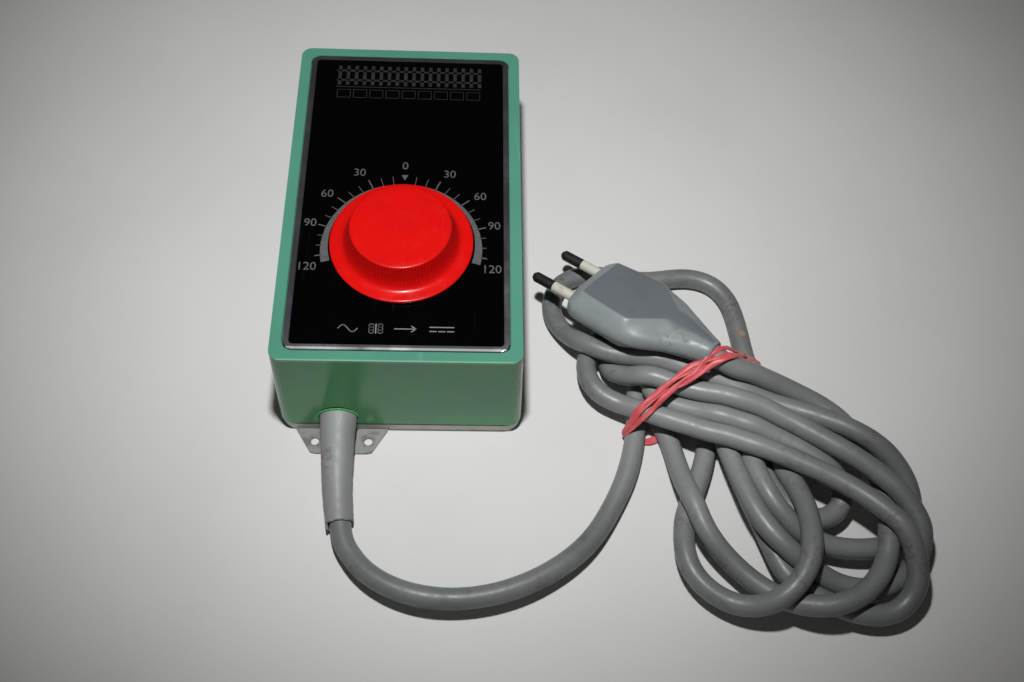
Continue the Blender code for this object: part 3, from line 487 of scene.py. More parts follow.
def frames_along(line):
    """Two unit side vectors at each point of a line, turning as little as possible."""
    tangent = np.gradient(line, axis=0)
    tangent /= np.linalg.norm(tangent, axis=1)[:, None]
    side = np.cross(tangent[0], (0.0, 0.0, 1.0))
    side /= np.linalg.norm(side)
    sides = []
    for t in tangent:
        side = side - t * (side @ t)
        side = side / np.linalg.norm(side)
        sides.append(side)
    sides = np.array(sides)
    return sides, np.cross(tangent, sides)


def evenly(points, spacing):
    """Evenly spaced points on a Catmull-Rom curve through the given points."""
    p = np.array(points, float)
    p = np.vstack([2 * p[0] - p[1], p, 2 * p[-1] - p[-2]])
    t = np.linspace(0, 1, 16, endpoint=False)[:, None]
    rows = []
    for a, b, c, d in zip(p, p[1:], p[2:], p[3:]):
        rows.append(0.5 * (2 * b + (c - a) * t + (2 * a - 5 * b + 4 * c - d) * t * t
                           + (3 * b - a - 3 * c + d) * t ** 3))
    fine = np.vstack(rows + [p[-2][None]])
    along = np.concatenate([[0], np.cumsum(np.linalg.norm(np.diff(fine, axis=0), axis=1))])
    count = int(round(along[-1] / spacing)) + 1
    at = np.linspace(0, along[-1], count)
    return np.stack([np.interp(at, along, fine[:, k]) for k in range(3)], axis=1)


def tube_points(line, radius, columns):
    """Rings of points round a line."""
    side, over = frames_along(line)
    turn = np.linspace(0, 2 * math.pi, columns, endpoint=False)
    radius = np.broadcast_to(np.asarray(radius, float), (len(line),))
    ring = np.cos(turn)[None, :, None] * side[:, None] + np.sin(turn)[None, :, None] * over[:, None]
    return (line[:, None] + radius[:, None, None] * ring).reshape(-1, 3)


# ---------------------------------------------------------------- the cord

SMOOTHING = 0.175                          # share of the way to its neighbours' middle, each round
HOME_PULL = 0.02 * np.array([1.0, 1.0, 0.5])
SAG = np.array([0.0, 0.0, 0.03])
PUSH_WEIGHT = np.array([1.0, 1.0, 1.2])
RISE = 5.0                                 # chosen

CORD_ROUTE = [
    # from the strain relief across the floor to the hank
    (-19.6, -104.0, 5.6), (-19.1, -107.6, 5.3), (-17, -116, 4.3), (-11, -124, 3.8), (0, -130, 3.7),
    (12, -133, 3.7), (25, -133, 3.7), (39, -130, 3.7), (52, -124, 3.7), (66, -114, 3.7),
    (74, -101, 3.7), (80, -90, 3.7), (83, -80, 3.7),
    # under the hank, a turn beyond the band and back along the underside
    (86, -68, 3.7), (86, -60, 3.7), (87, -51, 3.7), (91, -44, 3.7), (98, -41, 3.7), (106, -42, 3.7),
    (112, -47, 3.7), (115, -54, 3.7), (118, -81, 3.7), (121, -91, 3.7), (124, -100, 3.7),
    (127, -107, 3.7), (130, -115, 3.7), (134, -123, 3.7), (140, -130, 3.7), (148, -135, 3.7),
    # the outermost turn, nearest the camera, then on top to the band
    (157, -138, 3.7), (165, -139, 4), (171, -137, 5), (175, -132, 7), (176, -127, 10),
    (176, -121, 13.5), (173, -115, 16.5), (168, -107, 18), (163, -101.5, 17.5), (155, -95, 17),
    (139, -86.5, 17), (122, -79.5, 17), (112, -75.5, 17), (98, -71.5, 17), (86, -66.5, 15.5),
    (82, -64, 13), (77, -62, 10.5), (72, -58, 8), (69, -54, 6), (67, -50, 5), (66, -45, 4),
    (66, -41, 4),
    # a turn under the plug and back beneath
    (71, -33, 3.7), (79, -27, 3.7), (89, -25, 3.7), (100, -27, 3.7), (110, -33, 3.7),
    (117, -41, 3.7), (121, -50, 3.7), (126, -80, 3.7), (129, -89, 3.7), (133, -96, 3.7),
    (137, -102, 3.7), (142, -105, 3.7), (147, -106, 3.7),
    # the inner turn
    (151, -104, 3.7), (155, -101, 4.5), (158, -98, 6), (158, -94, 8), (156, -89, 10.5),
    (151, -85.5, 13), (142, -80, 15), (130, -75, 16), (118, -71, 16), (107, -67, 15),
    # a short turn beyond the band
    (99, -65, 13), (93, -62, 11.5), (88, -58, 11), (87, -52, 11), (89, -46, 11), (95, -42, 11),
    (102, -42, 11), (108, -45, 11), (113, -52, 11), (117, -84, 11), (119, -89, 11), (121, -98, 11),
    (124, -106, 11), (127, -112, 11), (132, -119, 10), (135, -123, 8),
    # the third turn, then on top to the band
    (140, -125, 5.5), (145, -126, 4), (150, -128, 3.7), (160, -130, 3.7), (166, -129, 4),
    (172, -127, 4), (178, -122, 5), (181, -115, 7), (181, -109, 10), (178, -102, 13.5),
    (173, -96, 16), (166, -90, 17.5), (157, -83, 18), (140, -75, 18), (123, -68, 18),
    (113, -65, 18), (103, -62, 18), (96, -57, 16), (90, -54, 13), (83, -53, 10), (78, -50, 7),
    (74, -47, 5),
    # a second turn under the plug
    (74, -42, 4), (78, -35, 4.5), (86, -32, 5.5), (96, -32, 7), (106, -37, 9), (114, -43, 11),
    (120, -50, 11), (124, -84, 11), (127, -92, 11), (130, -99, 11), (135, -105, 10.5),
    (138, -109, 9),
    # the second turn of the far end, then on top to the band
    (143, -112, 6), (148, -114, 4), (157, -115, 3.7), (168, -114, 4), (176, -111, 4),
    (181, -105, 4.5), (182, -97, 6), (180, -90, 9), (175, -84, 12), (169, -79, 15),
    (159, -73, 17.5), (141, -67, 18), (124, -61, 18.5), (113, -58, 19), (107, -53, 19),
    # the wide loop round the plug's pins and behind the plug
    (100, -50, 18), (89, -48, 17.5), (80, -46, 15), (72, -42, 12), (69, -40, 11), (63, -36, 9),
    (59, -31, 7), (55, -24, 5), (54, -16, 4), (58, -7, 4), (63, -4, 4), (67, -3, 4), (72, -3, 4),
    (78, -4, 4), (85, -6, 4), (91, -8, 4), (96, -7, 4), (101, -5, 4), (108, -3, 4), (115, -4, 4),
    (121, -7, 4), (124, -12, 4), (126, -17, 4), (126, -23, 4), (127, -30, 4), (127, -37, 4),
    (130, -49, 4), (132, -60, 4.5), (134, -70, 6),
    # the small loop that crosses over the others
    (135, -86, 8), (137, -91, 10), (140, -96, 12), (141, -104, 15), (140, -113, 17),
    (139, -120, 18), (137, -127, 18), (132, -132, 17.5), (129, -135, 13), (123, -136, 8.5),
    (117, -136, 5), (110, -133, 3.7), (105, -130, 3.7), (100, -125, 3.7), (98, -120, 3.7),
    (98, -112, 3.7), (99, -104, 3.7), (102, -96, 3.7), (106, -90, 3.7), (109, -82, 3.7),
    (112, -70, 3.7), (110, -61, 3.7), (104, -54, 3.7), (96, -51, 3.7), (90, -55, 3.7),
    (89, -63, 3.7),
    # the last run out over the small loop, the inner turn and back on top to the plug
    (97, -71, 4), (98, -79, 5.5), (98, -88, 9), (101, -99, 11), (103, -107, 10.5), (107, -113, 8.5),
    (112, -118, 6.5), (117, -123, 6), (122, -128, 7), (128, -133, 9), (135, -136, 11),
    (144, -137, 11), (154, -135, 11), (161, -129, 11), (166, -123, 11), (169, -115, 11),
    (170, -109, 11), (171, -101, 10), (171, -91, 9.5), (169, -83, 9.5), (165, -74, 10.5),
    (159, -67, 12), (152, -63, 14), (143, -60, 16), (133, -58.5, 18), (124, -57.5, 20.5)]


def soften(line):
    """Takes short kinks out of a line and leaves its wider turns as they are."""
    reach = np.arange(-8, 9)
    weight = np.exp(-0.5 * (reach / 2.6) ** 2)
    weight /= weight.sum()

    def blur(rows):
        longer = np.vstack([2 * rows[0] - rows[8:0:-1], rows, 2 * rows[-1] - rows[-2:-10:-1]])
        return np.stack([np.convolve(longer[:, k], weight, "valid") for k in range(3)], axis=1)

    once = blur(line)
    return 2 * once - blur(once)


def settle(line, fixed, rounds):
    """Smooths the line, lets it sag and pushes strands that meet apart, all above the floor."""
    home = line.copy()
    count = len(line)
    index = np.arange(count)
    step = np.linalg.norm(np.diff(line, axis=0), axis=1).mean()
    apart = np.triu(np.abs(index[:, None] - index[None]) > math.ceil(2.2 * CORD_GAP / step))
    first, second = np.nonzero(apart)
    for round_number in range(rounds):
        if round_number % 12 == 0:
            away = ((line[first] - line[second]) ** 2).sum(1)
            near = away < (CORD_GAP + 5.0) ** 2
            i = first[near]
            j = second[near]
        line[1:-1] += SMOOTHING * (0.5 * (line[:-2] + line[2:]) - line[1:-1])
        line += (home - line) * HOME_PULL - SAG
        for start in (0, 1):
            a = index[start:-1:2]
            gap = line[a + 1] - line[a]
            long = np.linalg.norm(gap, axis=1)[:, None]
            change = 0.25 * (long - step) / np.maximum(long, 1e-9) * gap
            line[a] += change
            line[a + 1] -= change
        for _ in range(4):
            gap = line[i] - line[j]
            long = np.sqrt((gap ** 2).sum(1))
            hit = long < CORD_GAP
            push = gap[hit] * PUSH_WEIGHT
            size = np.maximum(np.linalg.norm(push, axis=1), 1e-6)
            push *= (0.25 * (CORD_GAP - long[hit]) / size)[:, None]
            move = np.zeros_like(line)
            hits = np.zeros(count)
            np.add.at(move, i[hit], push)
            np.add.at(move, j[hit], -push)
            np.add.at(hits, i[hit], 1)
            np.add.at(hits, j[hit], 1)
            line += move / np.maximum(1.0, hits * 0.35)[:, None]
            line[:, 2] = np.maximum(line[:, 2], CORD_LOW)
        line[fixed] = home[fixed]
        if round_number % 10 == 0:
            line = soften(line)
            line[fixed] = home[fixed]
    line[1:-1] = 0.25 * line[:-2] + 0.5 * line[1:-1] + 0.25 * line[2:]
    line[:, 2] = np.maximum(line[:, 2], CORD_LOW)
    return line


def raised(line):
    """Lifts the loops in front of the band, the one beside the plug and the lead off the floor, for shadows
    like the photo's. Each point slides toward the camera as it rises, so it stays put in the picture."""
    away = line[:, :2] - np.array(BAND_START)[:2]
    along = np.array((BAND_END - BAND_START).normalized())[:2]
    before = away @ np.array([along[1], -along[0]])
    beside_plug = np.hypot(line[:, 0] - 63.0, line[:, 1] + 52.0)
    flat = np.ones(len(line))
    for share in ((before - 14.0) / 34.0, (-line[:, 1] - 104.0) / 30.0, (22.0 - beside_plug) / 18.0):
        share = np.clip(share, 0.0, 1.0)
        flat *= 1.0 - share * share * (3.0 - 2.0 * share)
    rise = RISE * (1.0 - flat)
    toward = np.array(CAMERA_PLACE) - line
    return line + toward * (rise / toward[:, 2])[:, None]


neck_end = PLUG_PLACE @ Vector((-53.4, 0.0, 0.0))
neck_inside = PLUG_PLACE @ Vector((-47.0, 0.0, 0.0))
before_neck = PLUG_PLACE @ Vector((-61.0, 0.0, -2.4))
route = evenly(CORD_ROUTE + [tuple(before_neck), tuple(neck_end), tuple(neck_inside)], 2.6)
held = np.zeros(len(route), bool)
held[:5] = True
held[-4:] = True
cord_line = settle(route, held, 260)
cord_line = evenly(raised(cord_line), 2.2)
counter = np.arange(len(cord_line))
wobble = np.sin(counter * 0.37) * np.sin(counter * 0.083) * 0.05
cord = make_piece("mains_cord", tube_points(cord_line, CORD_R + wobble, CORD_SIDES),
                  grid_faces(len(cord_line), CORD_SIDES), MATERIALS["cord_grey"], "housing")
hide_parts("cord_lead", "cord_hank", "cord_tail")


# ---------------------------------------------------------------- the strain relief

RELIEF_LINE = [(-21.5, -66.0, 11.1), (-21.8, -69.8, 10.6), (-21.5, -82.0, 8.9), (-20.9, -94.0, 7.2),
               (-19.4, -106.8, 5.4)]
RELIEF_RADII = [(0.0, 6.6), (0.09, 6.7), (0.13, 6.45), (0.22, 6.1), (0.35, 5.8), (0.6, 5.35), (0.85, 5.0),
                (1.0, 4.8)]
RELIEF_TEAR = 1.5
RELIEF_SIDES = 72
# distance past the tip and radius, round the rim and back up the bore
RELIEF_RIM = [(0.0, 4.8), (0.35, 4.72), (0.5, 4.5), (0.45, 4.15), (0.1, 3.95), (-2.0, 3.85), (-9.0, 3.8)]
# height of the section against its width, along the sleeve
RELIEF_SQUASH = [(0.0, 0.84), (0.1, 0.84), (0.4, 0.95), (1.0, 1.0)]


def build_relief():
    """A soft tapered sleeve, open where the cord leaves it, with a torn lip at that end."""
    line = evenly(RELIEF_LINE, 1.0)
    side, over = frames_along(line)
    turn = np.linspace(0, 2 * math.pi, RELIEF_SIDES, endpoint=False)
    share = np.linspace(0, 1, len(line))
    flat = np.interp(share, *np.array(RELIEF_SQUASH).T)[:, None, None]
    ring = (np.cos(turn)[None, :, None] * side[:, None]
            + flat * np.sin(turn)[None, :, None] * over[:, None])
    radius = np.interp(share, *np.array(RELIEF_RADII).T)
    sag = 0.05 * np.sin(share[:, None] * 41 + 2 * turn) + 0.04 * np.sin(share[:, None] * 90 + 3 * turn)
    rows = line[:, None] + (radius[:, None] + sag)[:, :, None] * ring
    axis = line[-1] - line[-2]
    axis /= np.linalg.norm(axis)
    low_left = ring[-1] @ np.array([-0.86, 0.1, -0.5])
    tear = RELIEF_TEAR * np.clip((low_left - 0.62) / 0.25, 0, 1) * (1 + 0.25 * np.sin(turn * 13))
    tear += 0.12 * np.sin(turn * 5) + 0.07 * np.sin(turn * 11 + 1)
    push = axis[None] * tear[:, None]
    rings = list(rows)
    for along, r in RELIEF_RIM:
        torn = 1.0 if along >= 0 else 0.0
        rings.append(line[-1] + axis * along + push * torn + r * ring[-1])
    points = np.concatenate(rings)
    piece = make_piece("cable_sleeve", points, grid_faces(len(rings), RELIEF_SIDES),
                       MATERIALS["relief_grey"], "housing", sharp=60.0)
    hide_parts("strain_relief")


def build_hole_lip():
    """The raised lip moulded round the sleeve's hole in the front wall."""
    centre = np.array([-21.8, -69.95, 10.6])
    half_width, half_height = 7.1, 6.0
    sides = 12
    wall_slope = 1.5 / 43.5
    angles = np.radians(np.linspace(-44, 224, 72))
    up = half_height * np.sin(angles)
    line = centre + np.stack([half_width * np.cos(angles), wall_slope * up, up], axis=1)
    make_piece("cable_hole_lip", tube_points(line, 0.35, sides), grid_faces(len(line), sides),
               MATERIALS["case_green"], "housing", sharp=80.0)


# ---------------------------------------------------------------- the knob

KNOB_LOW = 49.8
RIBS = 96
RIB_DEPTH = 0.3
RIB_SHAPE = np.array([0.0, 0.65, 1.0, 1.0, 0.65, 0.0])
# radius, height and how far the side is ribbed there
KNOB_PROFILE = [
    (23.6, KNOB_LOW, 0), (24.3, KNOB_LOW + 0.02, 0), (24.62, KNOB_LOW + 0.2, 0), (24.7, KNOB_LOW + 0.5, 0),
    (24.66, KNOB_LOW + 0.82, 0), (24.45, KNOB_LOW + 1.02, 0), (24.1, KNOB_LOW + 1.1, 0), (22.9, 50.98, 0),
    (21.7, 51.12, 0), (20.9, 51.3, 0), (20.25, 51.62, 0), (19.75, 52.1, 0), (19.42, 52.7, 0.0),
    (19.2, 53.2, 0.25), (19.08, 53.6, 1), (18.55, 55.4, 1), (18.05, 57.0, 1), (17.52, 58.9, 1),
    (17.4, 59.25, 0.8), (17.27, 59.5, 0.25), (17.1, 59.66, 0), (16.75, 59.8, 0), (16.2, 59.86, 0),
    (14.0, 59.9, 0), (10.0, 59.96, 0), (5.0, 60.02, 0), (0.6, 60.04, 0)]
KNOB_INSIDE = [(3.6, 57.4), (15.6, 57.4), (18.4, KNOB_LOW + 1.2), (20.0, KNOB_LOW + 0.4), (22.0, KNOB_LOW)]


def build_knob():
    """A flanged cap with a ribbed side and a soft fillet where the side meets the flange."""
    columns = RIBS * len(RIB_SHAPE)
    turn = np.linspace(0, 2 * math.pi, columns, endpoint=False)
    groove = 1 - np.tile(RIB_SHAPE, RIBS)
    rings = []
    for radius, height, ribbed in [(r, z, 0) for r, z in KNOB_INSIDE] + KNOB_PROFILE:
        r = radius - RIB_DEPTH * ribbed * groove
        rings.append(np.stack([r * np.cos(turn), KNOB_Y + r * np.sin(turn), np.full(columns, height)],
                              axis=1))
    points = np.concatenate(rings)
    piece = make_piece("speed_knob_cap", points, grid_faces(len(rings), columns), MATERIALS["knob_red"],
                       "speed_knob", sharp=32.0)
    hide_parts("knob")


# ---------------------------------------------------------------- the dial's print

PRINT_LOW = DIAL_TOP - 0.02
PRINT_HIGH = DIAL_TOP + 0.03
DEGREES_PER_MARK = 8.41
MARKS = 12


class Print:
    """Thin raised shapes on the dial, gathered into one mesh."""

    def __init__(self):
        self.points = []
        self.faces = []

    def area(self, outline):
        """A flat shape with the given outline."""
        start = len(self.points)
        count = len(outline)
        self.points += [(x, y, PRINT_LOW) for x, y in outline] + [(x, y, PRINT_HIGH) for x, y in outline]
        self.faces.append([start + i for i in range(count)][::-1])
        self.faces.append([start + count + i for i in range(count)])
        for i in range(count):
            j = (i + 1) % count
            self.faces.append([start + i, start + j, start + count + j, start + count + i])

    def ribbon(self, outer, inner):
        """A curved strip between two lines with the same number of points."""
        for i in range(len(outer) - 1):
            self.area([inner[i], outer[i], outer[i + 1], inner[i + 1]])

    def stroke(self, line, width, closed=False):
        """A line of even width with square ends."""
        line = [Vector((x, y)) for x, y in line]
        if closed:
            line.append(line[0])
        for a, b in zip(line, line[1:]):
            along = (b - a).normalized() * width * 0.5
            across = Vector((-along.y, along.x))
            a = a - along * 0.5
            b = b + along * 0.5
            self.area([tuple(p) for p in (a - across, b - across, b + across, a + across)])

    def text(self, words, centre, height):
        """Figures in Blender's own font."""
        curve = bpy.data.curves.new("figures", "FONT")
        curve.body = words
        curve.align_x = "CENTER"
        curve.resolution_u = 4
        obj = bpy.data.objects.new("figures", curve)
        scene.collection.objects.link(obj)
        bpy.context.view_layer.update()
        mesh = obj.to_mesh()
        spots = np.array([v.co for v in mesh.vertices])
        low = spots.min(0)
        high = spots.max(0)
        scale = height / (high[1] - low[1])
        middle = (low + high) / 2
        flat = (spots - middle) * scale
        start = len(self.points)
        count = len(flat)
        for z in (PRINT_LOW, PRINT_HIGH):
            self.points += [(centre[0] + x, centre[1] + y, z) for x, y in flat[:, :2]]
        edges = {}
        for face in mesh.polygons:
            corners = list(face.vertices)
            self.faces.append([start + count + c for c in corners])
            self.faces.append([start + c for c in corners][::-1])
            for a, b in zip(corners, corners[1:] + corners[:1]):
                edges[(a, b)] = edges.get((a, b), 0) + 1
        for a, b in edges:
            if (b, a) not in edges:
                self.faces.append([start + a, start + b, start + count + b, start + count + a])
        obj.to_mesh_clear()
        bpy.data.objects.remove(obj)
        bpy.data.curves.remove(curve)

    def piece(self, name, mat):
        make_piece(name, self.points, self.faces, mat, "housing", smooth=False)


def on_dial(radius, degrees):
    """A point on the dial, with the angle clockwise from the far side."""
    angle = math.radians(degrees)
    return radius * math.sin(angle), KNOB_Y + radius * math.cos(angle)


def build_scale():
    """Two arcs that widen away from zero, with marks and figures outside them."""
    first, sweep, inner, widest = 8, 99, 25.3, 2.7
    scale = Print()
    for side in (-1, 1):
        angles = [first + sweep * i / 60 for i in range(61)]
        outer = [inner + 0.35 + widest * ((a - first) / sweep) ** 1.5 for a in angles]
        scale.ribbon([on_dial(r, side * a) for r, a in zip(outer, angles)],
                     [on_dial(inner, side * a) for a in angles])
        for mark in range(1, MARKS + 1):
            angle = mark * DEGREES_PER_MARK
            main = mark % 3 == 0
            start = inner + 0.2 + widest * max(0.0, (angle - first) / sweep) ** 1.5
            end = 29.9 if main else 29.2
            scale.stroke([on_dial(start, side * angle), on_dial(end, side * angle)], 0.42 if main else 0.22)
        for words, radius, angle in (("30", 34.6, 27.7), ("60", 34.2, 52.1), ("90", 33.0, 75.4),
                                     ("120", 33.0, 107.4)):
            scale.text(words, on_dial(radius, side * angle), 3.2)
    scale.text("0", on_dial(34.0, 0), 3.3)
    x, y = on_dial(28.6, 0)
    scale.area([(x - 1.2, y + 1.2), (x, y - 1.2), (x + 1.2, y + 1.2)])
    scale.piece("scale_print", PRINT_GREY)


def build_header():
    """A plain picture of straight track seen from above, over a row of empty boxes."""
    header = Print()
    left, right = -27.2, 26.8
    sleepers, boxes = 18, 9
    for i in range(sleepers):
        x = left + 0.9 + i * 3.1
        header.stroke([(x, 50.3), (x, 59.2)], 1.25)
    for y in (52.4, 57.1):
        header.stroke([(left, y), (right, y)], 0.85)
    header.stroke([(left - 0.3, 49.0), (right + 0.1, 49.0)], 0.3)
    for i in range(boxes):
        x = left + 0.4 + i * 6.05
        header.stroke([(x, 43.8), (x, 47.6), (x + 4.9, 47.6), (x + 4.9, 43.8)], 0.22, closed=True)
    header.piece("track_print", PRINT_DIM)


def build_footer():
    """A wave, a pair of coils, an arrow and a pair of lines: alternating in, direct out."""
    footer = Print()
    y = -56.2
    width = 0.36
    wave = [(-19.5 + 0.35 * i, y + 1.3 * math.sin(i * 2 * math.pi / 18)) for i in range(19)]
    footer.stroke(wave, width)
    for x in (-8.6, -5.6):
        for k in range(3):
            middle = y + (k - 1) * 1.15
            ring = [(x + 0.75 * math.cos(a * math.pi / 8), middle + 0.62 * math.sin(a * math.pi / 8))
                    for a in range(16)]
            footer.stroke(ring, 0.3, closed=True)
    footer.stroke([(-7.1, y - 1.8), (-7.1, y + 1.8)], width)
    footer.stroke([(-1.0, y), (6.0, y)], width)
    footer.stroke([(4.6, y + 1.1), (6.1, y), (4.6, y - 1.1)], width)
    footer.stroke([(10.6, y + 0.8), (18.6, y + 0.8)], width)
    for x in (10.6, 13.5, 16.4):
        footer.stroke([(x, y - 0.8), (x + 2.2, y - 0.8)], width)
    footer.piece("symbol_print", PRINT_LIGHT)


# ---------------------------------------------------------------- the plug

# distance behind the face, panel half-width, half-width, half-height, roundness, sideways shift
PLUG_STATIONS = [
    (0.0, 9.2, 13.6, 4.3, 0.0, 0.0), (-0.25, 9.8, 14.5, 4.8, 0.0, 0.0), (-0.9, 10.4, 15.6, 5.4, 0.0, 0.0),
    (-2.2, 11.2, 16.7, 6.1, 0.0, 0.0), (-3.7, 11.8, 17.25, 6.82, 0.0, 0.0),
    (-4.2, 12.0, 17.35, 6.9, 0.0, 0.0), (-9.0, 12.6, 17.6, 6.9, 0.0, 0.0),
    (-17.5, 13.3, 17.6, 6.9, 0.0, 0.0), (-24.0, 13.6, 17.5, 6.9, 0.0, 0.0),
    (-27.0, 11.2, 17.0, 6.9, 0.0, -0.1), (-30.0, 8.5, 16.2, 6.9, 0.0, -0.3),
    (-33.0, 5.8, 14.9, 6.85, 0.03, -0.6), (-34.8, 4.4, 13.9, 6.6, 0.2, -0.8),
    (-37.0, 3.0, 12.6, 6.35, 0.55, -1.0), (-40.0, 2.0, 10.9, 6.1, 0.95, -1.1),
    (-45.0, 1.4, 8.3, 5.75, 1.0, -0.8), (-50.0, 1.0, 6.1, 5.2, 1.0, -0.3),
    (-53.2, 0.9, 4.95, 4.85, 1.0, 0.0), (-53.9, 0.8, 4.55, 4.5, 1.0, 0.0), (-54.0, 0.8, 4.1, 4.1, 1.0, 0.0)]


def plug_ring(panel, half, high, rounded):
    """A closed ring of the moulding: a flat top and bottom, sloped flanks, a soft mid line."""
    box = [(0.0, high), (panel * 0.55, high), (panel - 0.35, high), (panel + 0.45, high - 0.5),
           (panel + 0.5 * (half - panel), high * 0.66), (half - 0.8, 2.7), (half, 0.95)]
    oval = [(half * math.sin(math.radians(a)), high * math.cos(math.radians(a)))
            for a in (0, 17, 33, 43, 58, 73, 84)]
    quarter = [((1 - rounded) * b[0] + rounded * 1.01 * o[0], (1 - rounded) * b[1] + rounded * 1.01 * o[1])
               for b, o in zip(box, oval)]
    ring = quarter + [(y, -z) for y, z in quarter[::-1]]
    ring += [(-y, -z) for y, z in quarter[1:]] + [(-y, z) for y, z in quarter[:0:-1]]
    ring = np.array(ring)
    out = []
    for a, b, c in zip(np.roll(ring, 1, 0), ring, np.roll(ring, -1, 0)):
        for t in (0.0, 0.34, 0.67):
            out.append(0.5 * (1 - t) ** 2 * a + (0.5 + t * (1 - t)) * b + 0.5 * t * t * c)
    return np.array(out)


def build_plug():
    """The moulding: rings between the stations, smoothed behind the face, then put in its place."""
    keys = np.array(PLUG_STATIONS)
    fine = []
    for a, b in zip(keys, keys[1:]):
        steps = max(1, int(round(abs(b[0] - a[0]) / 1.1)))
        fine += [a + (b - a) * k / steps for k in range(steps)]
    fine.append(keys[-1])
    fine = np.array(fine)
    for _ in range(2):
        soft = fine.copy()
        soft[1:-1] = 0.25 * fine[:-2] + 0.5 * fine[1:-1] + 0.25 * fine[2:]
        body = (fine[:, 0] < -6.0) & (fine[:, 0] > -52.5)
        fine[body] = soft[body]
    rings = []
    for x, panel, half, high, rounded, shift in fine:
        ring = plug_ring(panel, half, high, rounded) + (shift, 0.0)
        rings.append(np.column_stack([np.full(len(ring), x), ring]))
    local = np.concatenate(rings)
    place = np.array(PLUG_PLACE)
    points = local @ place[:3, :3].T + place[:3, 3]
    piece = make_piece("plug_moulding", points, grid_faces(len(rings), len(rings[0])),
                       MATERIALS["plug_grey"], "housing", sharp=28.0)
    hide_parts("plug_body")


# ---------------------------------------------------------------- the rubber band

BAND_LAST = 63.0            # strands cross under the band up to this far along it
BAND_REST = 0.75            # from the cord's skin to the band's middle
BAND_TWISTS = 0.85
BAND_WINDS = 4
BAND_RINGS = 300
BAND_SIDES = 12
BAND_HALF_WIDTH = 1.05
BAND_HALF_THICKNESS = 0.48
# how far the band swerves sideways, against the distance along it, on top of the hank and below it
BAND_TOP = [(0.0, 3.2), (28.0, 3.9), (42.0, 2.2), (52.0, 0.2), (62.0, -0.8)]
BAND_LOW = [(2.0, 2.6), (12.0, -3.0), (50.0, -2.5), (62.0, -0.8)]


def hull_of(points):
    """The outline that a stretched band takes round a set of points."""
    points = sorted(set((round(a, 4), round(b, 4)) for a, b in points))
    hull = []
    for sweep in (points, points[::-1]):
        part = []
        for p in sweep:
            while len(part) > 1 and ((part[-1][0] - part[-2][0]) * (p[1] - part[-2][1])
                                     - (part[-1][1] - part[-2][1]) * (p[0] - part[-2][0])) <= 0:
                part.pop()
            part.append(p)
        hull += part[:-1]
    return hull


def smooth_loop(path, rounds):
    """A closed line with its corners rounded off."""
    for _ in range(rounds):
        path = 0.25 * np.roll(path, 1, 0) + 0.5 * path + 0.25 * np.roll(path, -1, 0)
    return path


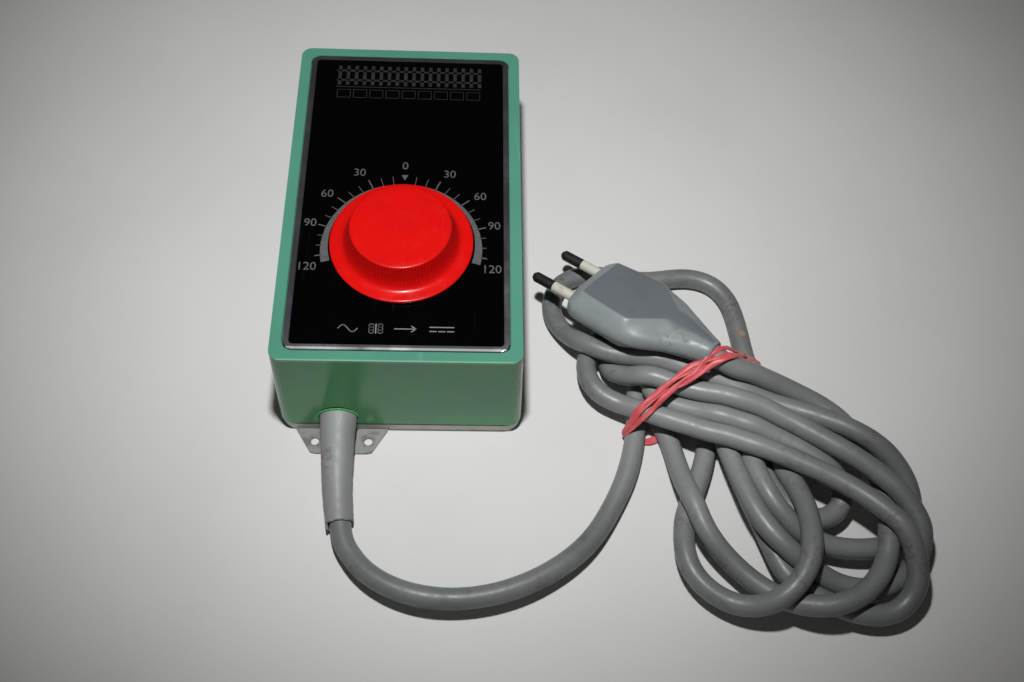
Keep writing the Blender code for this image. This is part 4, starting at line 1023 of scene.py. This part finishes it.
def build_band(line):
    """One rubber band, wound so that four loosely twisted winds lie over the top of the hank."""
    along = np.array((BAND_END - BAND_START).normalized())
    across = np.array([-along[1], along[0], 0.0])
    offset = line - np.array(BAND_START)
    place = offset @ along
    n = offset @ across - np.interp(place, *np.array(BAND_TOP).T)
    outline = []
    for i in np.nonzero(n[:-1] * n[1:] <= 0)[0]:
        t = n[i] / (n[i] - n[i + 1])
        s = place[i] * (1 - t) + t * place[i + 1]
        z = offset[i, 2] * (1 - t) + t * offset[i + 1, 2]
        if not 0.0 < s < BAND_LAST:
            continue
        run = line[i + 1] - line[i]
        run /= np.linalg.norm(run)
        wide = CORD_R / max(0.5, abs(run @ across)) + BAND_REST
        for a in np.linspace(0, 2 * math.pi, 40, endpoint=False):
            outline.append((s + wide * math.cos(a),
                            max(BAND_REST, z + (CORD_R + BAND_REST) * math.sin(a))))
    hull = hull_of(outline)
    path = []
    for a, b in zip(hull, hull[1:] + hull[:1]):
        steps = max(1, int(math.dist(a, b) / 0.6))
        path += [(a[0] + (b[0] - a[0]) * k / steps, a[1] + (b[1] - a[1]) * k / steps)
                 for k in range(steps)]
    path = smooth_loop(np.array(path), 12)
    upper = np.clip((path[:, 1] - 0.8) / 4.0, 0, 1)
    upper = upper * upper * (3 - 2 * upper)
    shift = (upper * np.interp(path[:, 0], *np.array(BAND_TOP).T)
             + (1 - upper) * np.interp(path[:, 0], *np.array(BAND_LOW).T))
    path = (np.array(BAND_START) + path[:, :1] * along + shift[:, None] * across
            + path[:, 1:] * np.array([0.0, 0.0, 1.0]))
    path = smooth_loop(path, 6)
    seg = np.linalg.norm(np.roll(path, -1, 0) - path, axis=1)
    run = np.concatenate([[0], np.cumsum(seg)])
    at = np.linspace(0, run[-1], BAND_RINGS, endpoint=False)
    path = np.stack([np.interp(at, run, np.append(path[:, k], path[0, k])) for k in range(3)], axis=1)
    tangent = np.roll(path, -1, 0) - np.roll(path, 1, 0)
    tangent /= np.linalg.norm(tangent, axis=1)[:, None]
    outward = np.cross(tangent, across)
    if ((path - path.mean(0)) * outward).sum() < 0:
        outward = -outward
    sideways = np.cross(tangent, outward)
    lap = np.arange(len(path)) / len(path) * 2 * math.pi
    free = np.clip((path[:, 2] - 5.0) / 12.0, 0, 1)
    weight = np.cumsum(free) / free.sum()
    spread = 0.6 + 1.4 * free + 0.12 * np.sin(lap * 11)
    turn = np.linspace(0, 2 * math.pi, BAND_SIDES, endpoint=False)
    points = []
    faces = []
    for number in range(BAND_WINDS):
        phase = 2 * math.pi * number / BAND_WINDS + 0.5 * math.sin(1.7 * number + 1)
        theta = phase + 2 * math.pi * BAND_TWISTS * weight + 0.5 * free * np.sin(lap * 5 + number)
        centre = (path + (spread * np.cos(theta))[:, None] * sideways
                  + (0.32 * np.sin(theta) * (0.4 + 0.6 * free))[:, None] * outward)
        tilt = 0.5 * np.sin(theta) + 0.25 * np.sin(lap * 13 + 2 * number)
        flat = np.cos(tilt)[:, None] * sideways + np.sin(tilt)[:, None] * outward
        thick = np.cross(tangent, flat)
        wide = BAND_HALF_WIDTH + 0.12 * np.sin(lap * 9 + phase)
        section = (np.cos(turn)[None, :, None] * (wide[:, None, None] * flat[:, None])
                   + np.sin(turn)[None, :, None] * (BAND_HALF_THICKNESS * thick[:, None]))
        faces += grid_faces(len(path), BAND_SIDES, close_rows=True, start=len(points))
        points += [tuple(p) for p in (centre[:, None] + section).reshape(-1, 3)]
    points = np.array(points)
    points[:, 2] = np.maximum(points[:, 2], 0.05)
    band = make_piece("band_winds", points, faces, MATERIALS["band_rubber"], "housing",
                      sharp=80.0)
    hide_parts("rubber_band")


build_relief()
build_hole_lip()
build_knob()
build_scale()
build_header()
build_footer()
build_plug()
build_band(cord_line)
